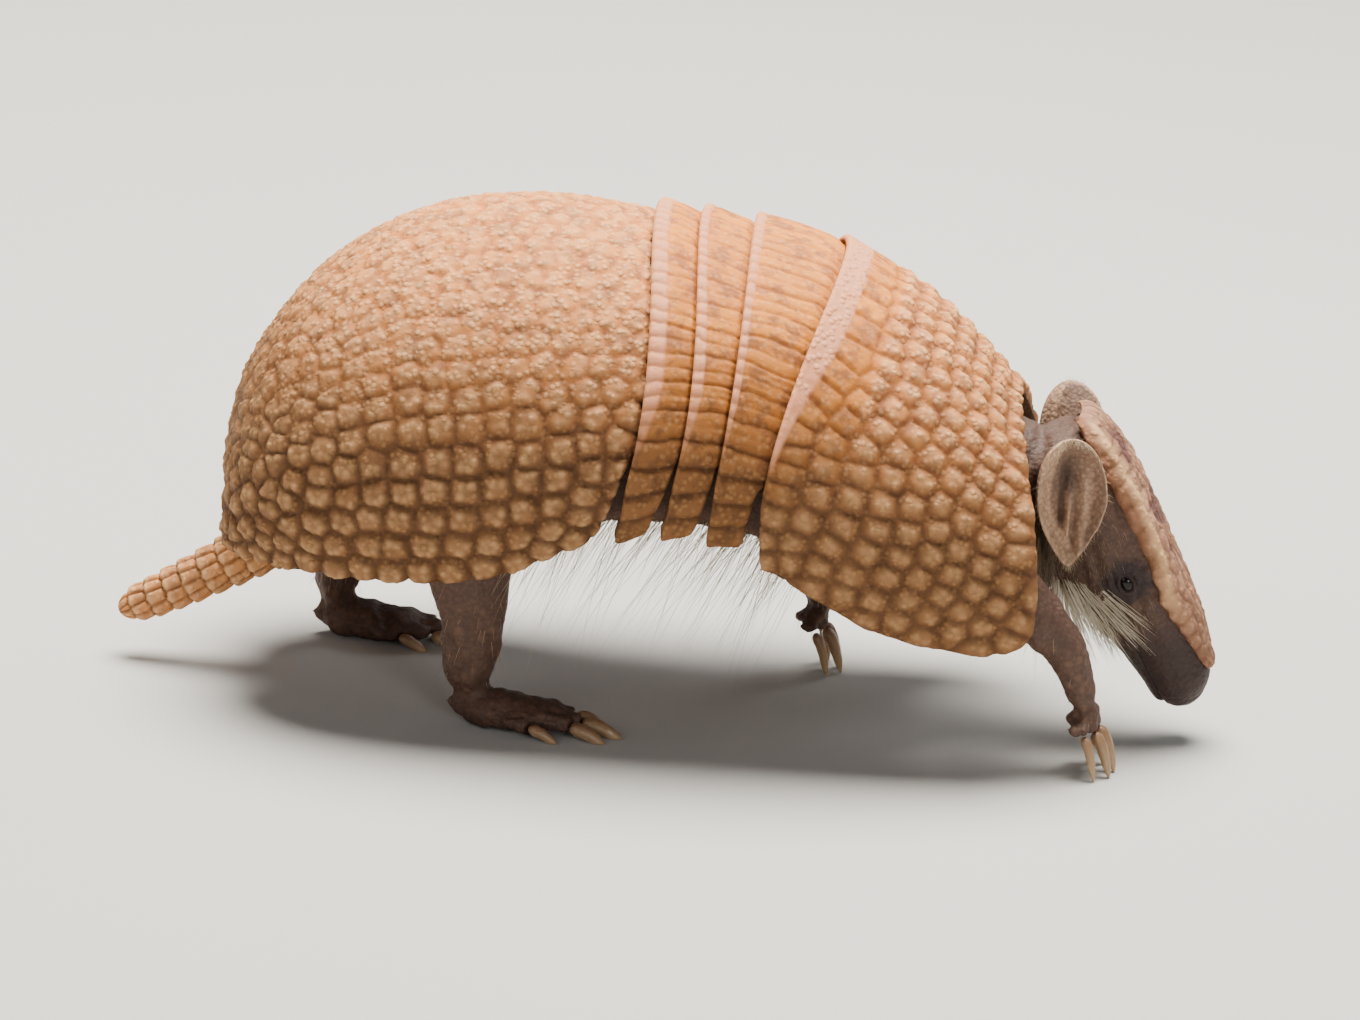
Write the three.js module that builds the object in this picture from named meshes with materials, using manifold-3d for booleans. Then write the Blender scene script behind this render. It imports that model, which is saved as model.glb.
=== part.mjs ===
// A southern three-banded armadillo, life size, walking with its nose near the ground.
// Millimetres, +Z up, +X towards the head, +Y to the animal's left. It stands on Z = 0, centred on X and Y.
import * as THREE from "three";
import { mergeVertices } from "three/addons/utils/BufferGeometryUtils.js";
import Module from "manifold-3d";

const wasm = await Module();
wasm.setup();

// ---------------------------------------------------------------- driving dimensions

const GAP = 0.3; // clearance between neighbouring pieces
const SIDES = [["right", -1], ["left", 1]];

// The carapace, from the neck to the tail. Station n is a line over the back from rim to rim: it crosses
// the ridge at RIDGE[n], [x, z, bow], bows forwards by that much half-way down each side, and ends on the
// left rim at RIM[n], [x, half-width, z].
const RIDGE = [
  [77.4, 71.4, 3], [59.5, 88.7, 1], [38.2, 99.8, -3.5], [19.2, 102.3, 1.7], [8.5, 103.2, 3.7],
  [-1, 103.8, 3.9], [-25.3, 104.8, 3], [-48.6, 99.6, 1.5], [-68.4, 86.2, 0], [-81, 68.3, 0],
  [-85.6, 51, 0], [-83.4, 38, 0],
];
const RIM = [
  [81.5, 40, 24], [52, 45, 29], [25, 47.5, 43.5], [14.2, 48, 47], [4.8, 48.5, 47],
  [-5, 49, 45], [-27.6, 49.5, 36], [-47.5, 47.5, 33.4], [-63.5, 42.5, 32.4], [-75, 34, 31.5],
  [-82, 22.5, 30.6], [-85, 9, 29.7],
];
const STATION = { neck: 0, shoulderRear: 2, hipFront: 5, tail: 11 }; // each band takes one station between
const TUCK = 112; // degrees from the ridge at which the shell stops, a little past its widest line
const SHELL = 2.6; // thickness of the bony shell
const LAP = { rise: 1.1, drop: 1.1 }; // a band's rear edge stands proud and its front edge lies low
const SEAM = 0.035; // stations left open at each edge of a plate
// The same, further, at the rim, where the bands end like fingers; and how round the corners there are.
const RIM_GAP = { band: 0.08, shield: 0.035 };
const CORNER = { band: 0.16, shield: 0.075 };
const SHELL_STEPS = 22; // facets over the back

// The soft body under the shell: how deep it lies, how much of the arch it fills, and its belly line.
const TRUNK = { depth: SHELL + LAP.drop + 1.2, fill: 0.9, front: 0.35, rear: 9.5, steps: 13, around: 18 };
const BELLY = [40, 40, 41, 42, 42, 42, 41, 40, 38, 36, 35, 35]; // its height at each station

// The neck, from inside the trunk to the head: [x, y, z, half-height, half-width].
const NECK = [[58, 0, 54, 16, 15], [70, 0, 53, 15, 15.5], [84, 0, 51, 13, 13]];

// The head hangs from the nape. In its own frame it runs along +X, with the brow towards +Z.
const NAPE = [90.5, 0, 71];
const HEAD_PITCH = 62; // degrees below level
// Along the head: distance from the nape, half-width, and the heights of its brow, widest line and throat.
const HEAD_SECTIONS = [
  [1, 12.5, -2, -11, -21], [8, 14.6, 1.2, -9.5, -24.5], [18, 15.4, 2.6, -8.5, -25],
  [30, 14.4, 2.7, -7.5, -23.5], [40, 12.4, 2.5, -6.6, -20], [50, 9.9, 2.1, -6.2, -16.8],
  [60, 7.8, 0.4, -6.8, -14.4], [69.5, 7.2, -0.8, -7.8, -14.6],
];
const EYE = { along: 35.5, out: 11, height: -7.6, radius: 2.5 };
// The brow shield: distance from the nape and half-width.
const BROW_OUTLINE = [
  [3, 9.9], [8, 12.4], [14, 13.5], [23, 13.4], [32, 12.6], [41.5, 11.5], [48, 9.7], [54, 7.6], [59, 5.5],
  [62, 4],
];
const BROW_THICKNESS = 1.2;

// The ear is an oval cup that opens outwards; turn opens it forwards, lean
// tips it outwards and rake tips it back, in degrees.
const EAR = {
  at: [88.6, 19, 54.4], length: 28.5, width: 14.5, cup: 4.5, thickness: 1.5, turn: -14, lean: 10, rake: 9,
};

// The tail, from its root inside the body to the tip: [x, y, z, half-height, half-width].
const TAIL = [
  [-62, 0, 34, 6.5, 7], [-72, 0, 28.6, 6, 6.4], [-81, 0, 23.4, 5.6, 5.8], [-90, 0, 18, 5, 5],
  [-98, 0, 13.4, 4.4, 4.4], [-106, 0, 9.4, 3.4, 3.4],
];

// Each leg: its side, the joint in the body down to the wrist or ankle, [x, y, z, half-length, half-width]
// for the animal's left side, and the place of the foot, with how far its toes swing outwards, in degrees.
const LEGS = {
  front_right: { side: -1, foot: "front", at: [94.6, 27], swing: 6,
    line: [[57, 26, 54, 10, 9], [73.5, 29.5, 40, 8, 7.2], [86, 29, 30, 5.6, 5.2], [91.8, 28, 20, 4, 4.6],
      [93.8, 27.2, 13, 4, 5.4]] },
  front_left: { side: 1, foot: "front", at: [37.5, 27], swing: -4,
    line: [[56, 26, 54, 10, 9], [49, 29.5, 40, 8, 7.2], [42, 29, 29, 5.6, 5.2], [38, 28, 20, 4, 4.6],
      [37, 27.2, 13, 4, 5.4]] },
  hind_right: { side: -1, foot: "hind", at: [-31, 27], swing: 5,
    line: [[-44, 25, 56, 14, 12], [-35, 29, 43, 12, 9.5], [-31.3, 29.5, 30, 8.8, 7],
      [-30.8, 28, 17, 6.5, 6], [-32, 27.2, 5.5, 5.2, 5.4]] },
  hind_left: { side: 1, foot: "hind", at: [-64, 25], swing: -3,
    line: [[-50, 24, 56, 14, 12], [-50, 28, 43, 12, 9.5], [-55, 28, 30, 8, 7], [-62, 26.5, 17, 5.8, 5.8],
      [-65.5, 25.2, 5.5, 5.2, 5.4]] },
};

// The feet, ahead of their place. The hind foot stands on its sole, the front foot on its claws' tips.
// Each digit: how far out it lies, how far forward its root and its claw start, its thickness, and the
// length of its claw.
const FEET = {
  front: {
    pad: [[-1.5, 0, 14, 5, 4], [0, 0, 10.5, 3.6, 6.2]],
    digits: [
      [-5.6, -1.2, 0.4, 1.7, 8], [-1.9, 0, 2, 2.1, 10.5], [2.2, 0, 1.6, 2, 10], [5.8, -1.4, 0, 1.6, 7],
    ],
    height: 9.6, slope: 66,
  },
  hind: {
    pad: [[-6, 0, 4, 4.8, 4.8], [4, 0, 3.9, 4.6, 6], [15, 0, 3.4, 4, 7.4], [20, 0, 3, 3.2, 6.6]],
    digits: [
      [-7.2, 11, 15.5, 1.8, 6.5], [-4.2, 16, 22, 2.2, 8], [0, 17, 24, 2.4, 9], [4.2, 16, 22, 2.2, 8],
      [7.2, 10, 14, 1.8, 6.5],
    ],
    height: 2.6, slope: 14,
  },
};
const SOLE_CUT = 0.6; // how much of each sole and claw tip the floor takes off, to leave a flat

// ---------------------------------------------------------------- materials

const material = (color, roughness) => new THREE.MeshStandardMaterial({ color, roughness, metalness: 0 });
const SHELL_TAN = material(0xb98a60, 0.62);
const BROW_TAN = material(0xc09064, 0.6);
const SKIN = material(0x5b4640, 0.72);
const TAIL_TAN = material(0xa9825f, 0.65);
const EAR_SKIN = material(0x8a7263, 0.7);
const CLAW_HORN = material(0xb8a183, 0.45);
const EYE_BLACK = material(0x0c0a0a, 0.12);

// ---------------------------------------------------------------- shaping tools

const { degToRad: radians, lerp, clamp, smoothstep } = THREE.MathUtils;
const vector = (x, y, z) => new THREE.Vector3(x, y, z);

// A closed primitive with every point moved by shape(x, y, z), and its seams merged.
function shaped(primitive, shape) {
  primitive.deleteAttribute("normal");
  primitive.deleteAttribute("uv");
  const merged = mergeVertices(primitive, 1e-4);
  const points = merged.getAttribute("position");
  for (let i = 0; i < points.count; i++) {
    const moved = shape(points.getX(i), points.getY(i), points.getZ(i));
    points.setXYZ(i, moved.x, moved.y, moved.z);
  }
  return merged;
}

// A slab whose length, width and thickness, each 0 to 1, are bent by at(length, width, thickness).
const slab = (along, across, at) =>
  shaped(new THREE.BoxGeometry(1, 1, 1, along, across, 1), (x, y, z) => at(x + 0.5, y + 0.5, z + 0.5));

// A long body with rounded ends. Its rings lie along t, 0 to 1, and at(t, angle, swell) gives the point at
// an angle round a ring, where swell rises from 0 at each pole to 1 over the share `round` of the length.
function sausage(around, along, round, at) {
  return shaped(new THREE.SphereGeometry(1, around, along), (x, y, z) => {
    const t = 1 - Math.acos(clamp(y, -1, 1)) / Math.PI;
    const end = clamp(Math.min(t, 1 - t) / round, 0, 1);
    return at(t, Math.atan2(x, z), Math.sqrt(1 - (1 - end) ** 2));
  });
}

// A smooth line through rows of numbers, read at t from 0 to 1 as a row.
function smoothRows(rows) {
  const curveOf = (columns) => new THREE.CatmullRomCurve3(
    rows.map((row) => vector(...columns.map((c) => row[c] ?? 0))), false, "catmullrom", 0.5);
  const curves = [[0, 1, 2], [3, 4, 5]].map(curveOf);
  return (t) => curves.flatMap((curve) => curve.getPoint(clamp(t, 0, 1)).toArray());
}

function solidOf(geometry) {
  return new wasm.Manifold(new wasm.Mesh({
    numProp: 3,
    vertProperties: new Float32Array(geometry.getAttribute("position").array),
    triVerts: new Uint32Array(geometry.index.array),
  }));
}

function geometryOf(solid) {
  const { vertProperties, triVerts } = solid.getMesh();
  return new THREE.BufferGeometry()
    .setAttribute("position", new THREE.BufferAttribute(vertProperties, 3))
    .setIndex(new THREE.BufferAttribute(triVerts, 1));
}

const join = (solids) => solids.reduce((whole, solid) => whole.add(solid));
const carve = (solid, cutters) => cutters.reduce((rest, cutter) => rest.subtract(cutter), solid);

const armadillo = new THREE.Group();

function addNode(name, geometry, finish) {
  const mesh = new THREE.Mesh(geometry, finish);
  mesh.name = name;
  armadillo.add(mesh);
}

const addSolid = (name, solid, finish) => addNode(name, geometryOf(solid), finish);

// ---------------------------------------------------------------- carapace

const ridgeAt = smoothRows(RIDGE);
const rimAt = smoothRows(RIM);
const bellyAt = smoothRows(BELLY.map((height) => [height]));

// A point of the outer shell: side runs from -1 at the right rim over 0 on the ridge to 1 at the left rim.
function shellSkin(station, side) {
  const [ridgeX, ridgeZ, bow] = ridgeAt(station / STATION.tail);
  const [rimX, halfWidth, rimZ] = rimAt(station / STATION.tail);
  const angle = radians(TUCK) * side;
  const edge = Math.cos(radians(TUCK));
  const climb = (Math.cos(angle) - edge) / (1 - edge);
  const x = lerp(rimX, ridgeX, climb) + 4 * bow * climb * (1 - climb);
  return vector(x, halfWidth * Math.sin(angle), lerp(rimZ, ridgeZ, climb));
}

// The same point, moved out along the shell's normal by rise.
function shellPoint(station, side, rise) {
  const step = 1e-3;
  const here = clamp(station, step, STATION.tail - step);
  const along = shellSkin(here + step, side).sub(shellSkin(here - step, side));
  const across = shellSkin(here, side + step).sub(shellSkin(here, side - step));
  return shellSkin(station, side).add(across.cross(along).normalize().multiplyScalar(rise));
}

// How far an edge of a plate draws back, in stations: a thin seam, wider between the band ends, with the
// corner at the rim rounded. A shield's stations are longer than a band's, so it has its own measures.
function drawBack(side, kind) {
  const low = Math.abs(side);
  const bend = 1 - Math.sqrt(1 - clamp((low - 0.94) / 0.06, 0, 1) ** 2);
  return SEAM + RIM_GAP[kind] * smoothstep(low, 0.81, 0.95) + CORNER[kind] * bend;
}

// Points across a plate stand closer together towards the rims.
const acrossPlate = (share) => Math.sin((share - 0.5) * 2.6) / Math.sin(1.3);

function shellPlate(name, plate) {
  const geometry = slab(plate.steps, SHELL_STEPS, (length, width, thickness) => {
    const side = acrossPlate(1 - width);
    const front = plate.front + plate.frontEdge(side);
    const rear = plate.rear - plate.rearEdge(side);
    return shellPoint(lerp(front, rear, length), side, plate.rise(length) - SHELL * (1 - thickness));
  });
  addNode(name, geometry, SHELL_TAN);
}

function carapace() {
  const neckCorner = (side) => 0.4 * (1 - Math.sqrt(1 - clamp((Math.abs(side) - 0.88) / 0.12, 0, 1) ** 2));
  shellPlate("scapular_shield", {
    front: STATION.neck, rear: STATION.shoulderRear, steps: 8, frontEdge: neckCorner,
    rearEdge: (side) => drawBack(side, "shield"), rise: (t) => LAP.rise * t ** 5,
  });
  ["front", "middle", "rear"].forEach((place, i) => shellPlate(`band_${place}`, {
    front: STATION.shoulderRear + i, rear: STATION.shoulderRear + i + 1, steps: 2,
    frontEdge: (side) => drawBack(side, "band"), rearEdge: (side) => drawBack(side, "band"),
    rise: (t) => lerp(-LAP.drop, LAP.rise, t),
  }));
  shellPlate("pelvic_shield", {
    front: STATION.hipFront, rear: STATION.tail, steps: 13, frontEdge: (side) => drawBack(side, "shield"),
    rearEdge: () => 0, rise: (t) => -LAP.drop * (1 - t) ** 12,
  });
}

// ---------------------------------------------------------------- soft body

// The trunk follows the inside of the shell and closes below with a rounded belly.
function trunkSolid() {
  const { depth, fill, front, rear, steps, around } = TRUNK;
  return solidOf(sausage(around, steps, 0.16, (t, angle, swell) => {
    const station = lerp(front, rear, t);
    const share = Math.abs(angle) / Math.PI;
    const back = 0.68; // share of the ring that lies against the shell
    const side = Math.sign(angle) * fill * Math.min(share / back, 1);
    const flank = shellPoint(station, side, -depth);
    const under = clamp((share - back) / (1 - back), 0, 1) * (Math.PI / 2);
    const belly = bellyAt(station / STATION.tail)[0];
    flank.y *= Math.cos(under);
    flank.z = lerp(flank.z, Math.min(belly, flank.z), Math.sin(under));
    const [ridgeX, ridgeZ] = ridgeAt(station / STATION.tail);
    const [rimX] = rimAt(station / STATION.tail);
    const core = vector((ridgeX + rimX) / 2, 0, lerp(belly, ridgeZ, 0.45));
    return core.lerp(flank, swell);
  }));
}

// A limb along a line of rows [x, y, z, half-length, half-width], all grown by grow.
function limb(line, side, around, along, grow) {
  const rowAt = smoothRows(line);
  return solidOf(sausage(around, along, 0.14, (t, angle, swell) => {
    const [x, y, z, halfLength, halfWidth] = rowAt(t);
    const [x0, y0, z0] = rowAt(t - 0.01);
    const [x1, y1, z1] = rowAt(t + 0.01);
    const down = vector(x1 - x0, (y1 - y0) * side, z1 - z0).normalize();
    const outward = vector(0, 1, 0).addScaledVector(down, -down.y).normalize();
    const forward = outward.clone().cross(down);
    const overshoot = (t < 0.5 ? -1 : 1) * (1 - swell) * grow;
    return vector(x, y * side, z)
      .addScaledVector(down, overshoot)
      .addScaledVector(forward, Math.cos(angle) * (halfLength + grow) * swell)
      .addScaledVector(outward, Math.sin(angle) * (halfWidth + grow) * swell);
  }));
}

// ---------------------------------------------------------------- head

const headSections = smoothRows(HEAD_SECTIONS);
const headFrame = new THREE.Matrix4()
  .makeRotationY(radians(HEAD_PITCH))
  .setPosition(...NAPE);

// A point of the head's skin in the head's own frame: angle 0 lies on the brow, 180 degrees on the throat.
function headSkin(t, angle, rise, swell = 1) {
  const [along, halfWidth, brow, waist, throat] = headSections(t);
  const up = Math.cos(angle);
  const height = up > 0 ? (brow - waist) * up ** 0.7 : (waist - throat) * up;
  return vector(along + rise * (1 - swell) * Math.sign(t - 0.5),
    Math.sin(angle) * (halfWidth * swell + rise), waist + height * swell + rise * up);
}

const headSolid = (grow) => solidOf(sausage(18, 13, 0.08, (t, angle, swell) =>
  headSkin(t, -angle, grow, swell).applyMatrix4(headFrame)));

function eyeball(side, radius) {
  const centre = vector(EYE.along, EYE.out * side, EYE.height);
  return shaped(new THREE.SphereGeometry(radius, 10, 6), (x, y, z) =>
    vector(x, y, z).add(centre).applyMatrix4(headFrame));
}

// The share of the head's length at which its sections reach a distance from the nape.
function shareAlongHead(distance) {
  let [low, high] = [0, 1];
  for (let i = 0; i < 30; i++) {
    const middle = (low + high) / 2;
    if (headSections(middle)[0] < distance) low = middle;
    else high = middle;
  }
  return (low + high) / 2;
}

// The brow shield lies over the head, clear of the skin.
function browShield() {
  const outline = smoothRows(BROW_OUTLINE);
  return slab(10, 6, (t, width, thickness) => {
    const [along, halfWidth] = outline(t);
    const share = shareAlongHead(along);
    const angle = Math.asin(clamp((width * 2 - 1) * halfWidth / headSections(share)[1], -0.97, 0.97));
    return headSkin(share, angle, 2 * GAP + BROW_THICKNESS * thickness).applyMatrix4(headFrame);
  });
}

// An ear is a thin oval dish, hollow towards the outside.
function earSolid(side) {
  const pose = new THREE.Matrix4()
    .makeRotationFromEuler(new THREE.Euler(
      radians(-EAR.lean) * side, radians(-EAR.rake), radians(EAR.turn) * side, "ZXY"))
    .setPosition(EAR.at[0], EAR.at[1] * side, EAR.at[2]);
  return solidOf(shaped(new THREE.SphereGeometry(1, 12, 8), (x, y, z) => {
    const middle = 1 - x * x - z * z;
    const wall = Math.sign(y) * Math.sqrt(Math.abs(y)) * EAR.thickness / 2;
    const narrow = 1 + 0.12 * z;
    return vector(x * narrow * EAR.width / 2, wall - side * EAR.cup * middle, z * EAR.length / 2)
      .applyMatrix4(pose);
  }));
}

function addHead() {
  const head = carve(headSolid(0), SIDES.map(([, side]) => solidOf(eyeball(side, EYE.radius + GAP))));
  addSolid("head", head, SKIN);
  addNode("head_shield", browShield(), BROW_TAN);
  for (const [name, side] of SIDES) {
    addNode(`eye_${name}`, eyeball(side, EYE.radius), EYE_BLACK);
    addSolid(`ear_${name}`, carve(earSolid(side), [headSolid(GAP)]), EAR_SKIN);
  }
}

// ---------------------------------------------------------------- legs

// The floor, as a block to cut flats with.
const floor = solidOf(shaped(new THREE.BoxGeometry(600, 600, 20), (x, y, z) => vector(x, y, z - 10)));

// Where a foot's own coordinates lie: forwards is turned outwards by the leg's swing.
function footFrame(leg) {
  const turn = radians(leg.swing) * leg.side;
  return (forward, out, height) => [
    leg.at[0] + forward * Math.cos(turn) - out * leg.side * Math.sin(turn),
    leg.at[1] + (forward * Math.sin(turn) + out * leg.side * Math.cos(turn)) * leg.side, height];
}

// A digit's claw: a horn that narrows and bends down to the floor.
function clawSolid(leg, [out, , start, thick, length], grow) {
  const { height, slope } = FEET[leg.foot];
  const place = footFrame(leg);
  const shares = [-0.12, 0.25, 0.6, 1];
  const line = shares.map((share) => {
    const bend = 0.16 * length * share * (1 - share);
    const fall = (height + thick * 0.2 + SOLE_CUT) * Math.max(share, 0);
    const run = length * Math.cos(radians(slope)) * share;
    const narrow = 1 - 0.62 * Math.max(share, 0) ** 1.5;
    return [...place(start + run + bend, out, height + thick * 0.2 - fall + bend),
      thick * 0.78 * narrow + 0.1, thick * 0.86 * narrow + 0.1];
  });
  return limb(line, leg.side, 6, 5, grow);
}

function digitSolid(leg, [out, root, start, thick]) {
  const place = footFrame(leg);
  const { height } = FEET[leg.foot];
  const line = [root - 3, (root + start) / 2, start + 1.2].map((forward, i) =>
    [...place(forward, out, height + thick * [0.6, 0.4, 0.1][i]), thick, thick]);
  return limb(line, leg.side, 6, 4, 0);
}

// The whole leg with its foot, before its claws' sockets are cut.
function legSolid(leg, grow) {
  const place = footFrame(leg);
  const pad = FEET[leg.foot].pad.map(([forward, out, height, tall, wide]) =>
    [...place(forward, out, height), tall, wide]);
  const shank = limb(leg.line, leg.side, 10, 10, grow);
  return grow > 0 ? shank : join([shank, limb(pad, leg.side, 8, 4, 0),
    ...FEET[leg.foot].digits.map((digit) => digitSolid(leg, digit))]);
}

function addLegs() {
  for (const [name, leg] of Object.entries(LEGS)) {
    const { digits } = FEET[leg.foot];
    const sockets = digits.map((digit) => clawSolid(leg, digit, GAP));
    addSolid(`leg_${name}`, carve(legSolid(leg, 0), [floor, ...sockets]), SKIN);
    digits.forEach((digit, i) =>
      addSolid(`claw_${name}_${i + 1}`, clawSolid(leg, digit, 0).subtract(floor), CLAW_HORN));
  }
}

// ---------------------------------------------------------------- assembly

const tailSolid = (grow) => limb(TAIL, 1, 10, 11, grow);
const neckSolid = (grow) => limb(NECK, 1, 12, 5, grow);

function addBody() {
  const legs = Object.values(LEGS).map((leg) => legSolid(leg, GAP));
  addSolid("trunk", carve(trunkSolid(), [...legs, tailSolid(GAP), neckSolid(GAP)]), SKIN);
  addSolid("neck", neckSolid(0).subtract(headSolid(GAP)), SKIN);
  addSolid("tail", tailSolid(0), TAIL_TAN);
}

carapace();
addBody();
addHead();
addLegs();

const box = new THREE.Box3().setFromObject(armadillo);
const middle = box.getCenter(new THREE.Vector3());
armadillo.position.set(-middle.x, -middle.y, -box.min.z);

export default armadillo;
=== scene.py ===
import math

import bpy
import numpy as np
from mathutils import Matrix, Vector, noise
from mathutils.kdtree import KDTree


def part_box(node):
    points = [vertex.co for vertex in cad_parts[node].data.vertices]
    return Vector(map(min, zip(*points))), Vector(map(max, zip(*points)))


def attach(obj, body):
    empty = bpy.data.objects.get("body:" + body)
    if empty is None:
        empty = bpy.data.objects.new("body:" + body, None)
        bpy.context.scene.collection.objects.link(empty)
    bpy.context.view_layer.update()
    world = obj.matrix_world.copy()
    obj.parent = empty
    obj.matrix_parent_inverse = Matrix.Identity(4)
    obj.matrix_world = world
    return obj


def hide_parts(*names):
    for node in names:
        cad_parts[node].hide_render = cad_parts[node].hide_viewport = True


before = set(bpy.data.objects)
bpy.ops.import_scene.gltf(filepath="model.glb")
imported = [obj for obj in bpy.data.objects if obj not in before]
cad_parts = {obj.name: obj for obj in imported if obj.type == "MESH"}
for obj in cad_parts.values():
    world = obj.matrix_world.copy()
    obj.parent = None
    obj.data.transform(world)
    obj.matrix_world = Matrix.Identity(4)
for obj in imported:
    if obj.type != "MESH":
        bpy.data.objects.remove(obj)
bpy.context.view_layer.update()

MM = 0.001
SIDES = {"right": -1, "left": 1}
random = np.random.default_rng(7)
NOISE_STEP = 17.3  # sets the noise of each seed apart from the others

# ---------------------------------------------------------------- shape of the animal, as in the solids

# The carapace: station n is a line over the back, from the ridge [x, z, bow] to the rim [x, half-width, z].
RIDGE = [
    [77.4, 71.4, 3], [59.5, 88.7, 1], [38.2, 99.8, -3.5], [19.2, 102.3, 1.7], [8.5, 103.2, 3.7],
    [-1, 103.8, 3.9], [-25.3, 104.8, 3], [-48.6, 99.6, 1.5], [-68.4, 86.2, 0], [-81, 68.3, 0],
    [-85.6, 51, 0], [-83.4, 38, 0],
]
RIM = [
    [81.5, 40, 24], [52, 45, 29], [25, 47.5, 43.5], [14.2, 48, 47], [4.8, 48.5, 47],
    [-5, 49, 45], [-27.6, 49.5, 36], [-47.5, 47.5, 33.4], [-63.5, 42.5, 32.4], [-75, 34, 31.5],
    [-82, 22.5, 30.6], [-85, 9, 29.7],
]
LAST = len(RIDGE) - 1
SHOULDER_REAR, HIP_FRONT = 2, 5
TUCK = math.radians(112)
SHELL = 2.6
LAP = 1.1
SUNK = {"shoulder": 1.5, "band": 1.0, "hip": 1.3}  # how far the base under each plate's relief is sunk
SEAM = 0.035
RIM_GAP = {"band": 0.08, "shield": 0.035}
CORNER = {"band": 0.16, "shield": 0.075}

# The head hangs from the nape; along it: distance, half-width, heights of the brow, widest line and throat.
NAPE = [90.5, 0, 71]
HEAD_PITCH = math.radians(62)
HEAD_SECTIONS = [
    [1, 12.5, -2, -11, -21], [8, 14.6, 1.2, -9.5, -24.5], [18, 15.4, 2.6, -8.5, -25],
    [30, 14.4, 2.7, -7.5, -23.5], [40, 12.4, 2.5, -6.6, -20], [50, 9.9, 2.1, -6.2, -16.8],
    [60, 7.8, 0.4, -6.8, -14.4], [69.5, 7.2, -0.8, -7.8, -14.6],
]
BROW_OUTLINE = [
    [1.3, 10.6], [8, 12.4], [14, 13.5], [23, 13.4], [32, 12.6], [41.5, 11.5], [48, 9.7], [54, 7.6], [59, 5.5],
    [62, 4],
]
EYE = [35.5, 11, -7.6]
EYE_RADIUS = 2.5
EAR = {"at": [88.6, 19, 54.4], "length": 28.5, "width": 14.5, "cup": 4.5, "turn": -14, "lean": 10, "rake": 9}
TAIL = [
    [-62, 0, 34, 6.5, 7], [-72, 0, 28.6, 6, 6.4], [-81, 0, 23.4, 5.6, 5.8], [-90, 0, 18, 5, 5],
    [-98, 0, 13.4, 4.4, 4.4], [-106, 0, 9.4, 3.4, 3.4],
]


def smooth_rows(rows):
    """A smooth line through rows of numbers: a function of t, 0 to 1, that gives rows."""
    rows = np.array(rows, float)
    knots = np.vstack([2 * rows[0] - rows[1], rows, 2 * rows[-1] - rows[-2]])

    def at(t):
        place = np.clip(t, 0, 1) * (len(rows) - 1)
        i = np.minimum(place.astype(int), len(rows) - 2)
        w = (place - i)[..., None]
        p0, p1, p2, p3 = (knots[i + k] for k in range(4))
        t0, t1 = (p2 - p0) / 2, (p3 - p1) / 2
        return p1 + t0 * w + (3 * (p2 - p1) - 2 * t0 - t1) * w**2 + (2 * (p1 - p2) + t0 + t1) * w**3

    return at


def smoothstep(value, low, high):
    share = np.clip((value - low) / (high - low), 0, 1)
    return share * share * (3 - 2 * share)


def blend(a, b, share):
    return a + (b - a) * share


def unit(vectors):
    return vectors / np.linalg.norm(vectors, axis=-1, keepdims=True)


def hill(value, middle, width):
    """1 at the middle, falling off smoothly over the width."""
    return np.exp(-(((value - middle) / width) ** 2))


head_turn = np.array(Matrix.Rotation(HEAD_PITCH, 3, "Y"))


def box_middle(node):
    low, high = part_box(node)
    return (np.array(low) + np.array(high)) / 2 / MM


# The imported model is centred; how far it was moved shows at the right eye.
eye_at = head_turn @ (np.array(EYE) * [1, -1, 1]) + NAPE
SHIFT = np.array([box_middle("eye_right")[0] - eye_at[0], 0, 0])

ridge_at, rim_at = smooth_rows(RIDGE), smooth_rows(RIM)


def shell_skin(station, side):
    """A point of the outer shell; side is -1 at the right rim, 0 on the ridge and 1 at the left rim."""
    ridge, rim = ridge_at(station / LAST), rim_at(station / LAST)
    edge = math.cos(TUCK)
    climb = (np.cos(TUCK * side) - edge) / (1 - edge)
    x = blend(rim[..., 0], ridge[..., 0], climb) + 4 * ridge[..., 2] * climb * (1 - climb)
    z = blend(rim[..., 2], ridge[..., 1], climb)
    return np.stack([x, rim[..., 1] * np.sin(TUCK * side), z], -1) + SHIFT


def shell_frame(station, side):
    """The shell's points and its outward normals."""
    station, side = np.broadcast_arrays(station, side)
    step = 1e-3
    here = np.clip(station, step, LAST - step)
    along = shell_skin(here + step, side) - shell_skin(here - step, side)
    across = shell_skin(here, side + step) - shell_skin(here, side - step)
    normal = np.cross(across, along)
    return shell_skin(station, side), unit(normal)


head_at = smooth_rows(HEAD_SECTIONS)


def from_head(points):
    """From the head's own frame, x from the nape to the snout and z out of the brow, to the model's."""
    return np.asarray(points) @ head_turn.T + NAPE + SHIFT


def to_head(points):
    return (np.asarray(points) - NAPE - SHIFT) @ head_turn


def from_eye(local):
    """How far points lie from the nearer eye, seen from the side."""
    return np.linalg.norm((local - EYE) * [1, 0, 1], axis=1)


def head_skin(t, angle, rise):
    """A point of the head in its own frame: angle 0 lies on the brow, half a turn on the throat."""
    along, half_width, brow, waist, throat = np.moveaxis(head_at(t), -1, 0)
    up = np.cos(angle)
    height = np.where(up > 0, (brow - waist) * np.abs(up) ** 0.7, (waist - throat) * up)
    return np.stack([along, np.sin(angle) * (half_width + rise), waist + height + rise * up], -1)


# ---------------------------------------------------------------- making meshes

def deselect():
    bpy.ops.object.select_all(action="DESELECT")


def choose(*pieces):
    """Selects these pieces only, the first as the active one."""
    deselect()
    for piece in pieces:
        piece.select_set(True)
    bpy.context.view_layer.objects.active = pieces[0]


def vertex_values(piece, key):
    flat = np.empty(len(piece.data.vertices) * 3)
    piece.data.vertices.foreach_get(key, flat)
    return flat.reshape(-1, 3)


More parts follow.
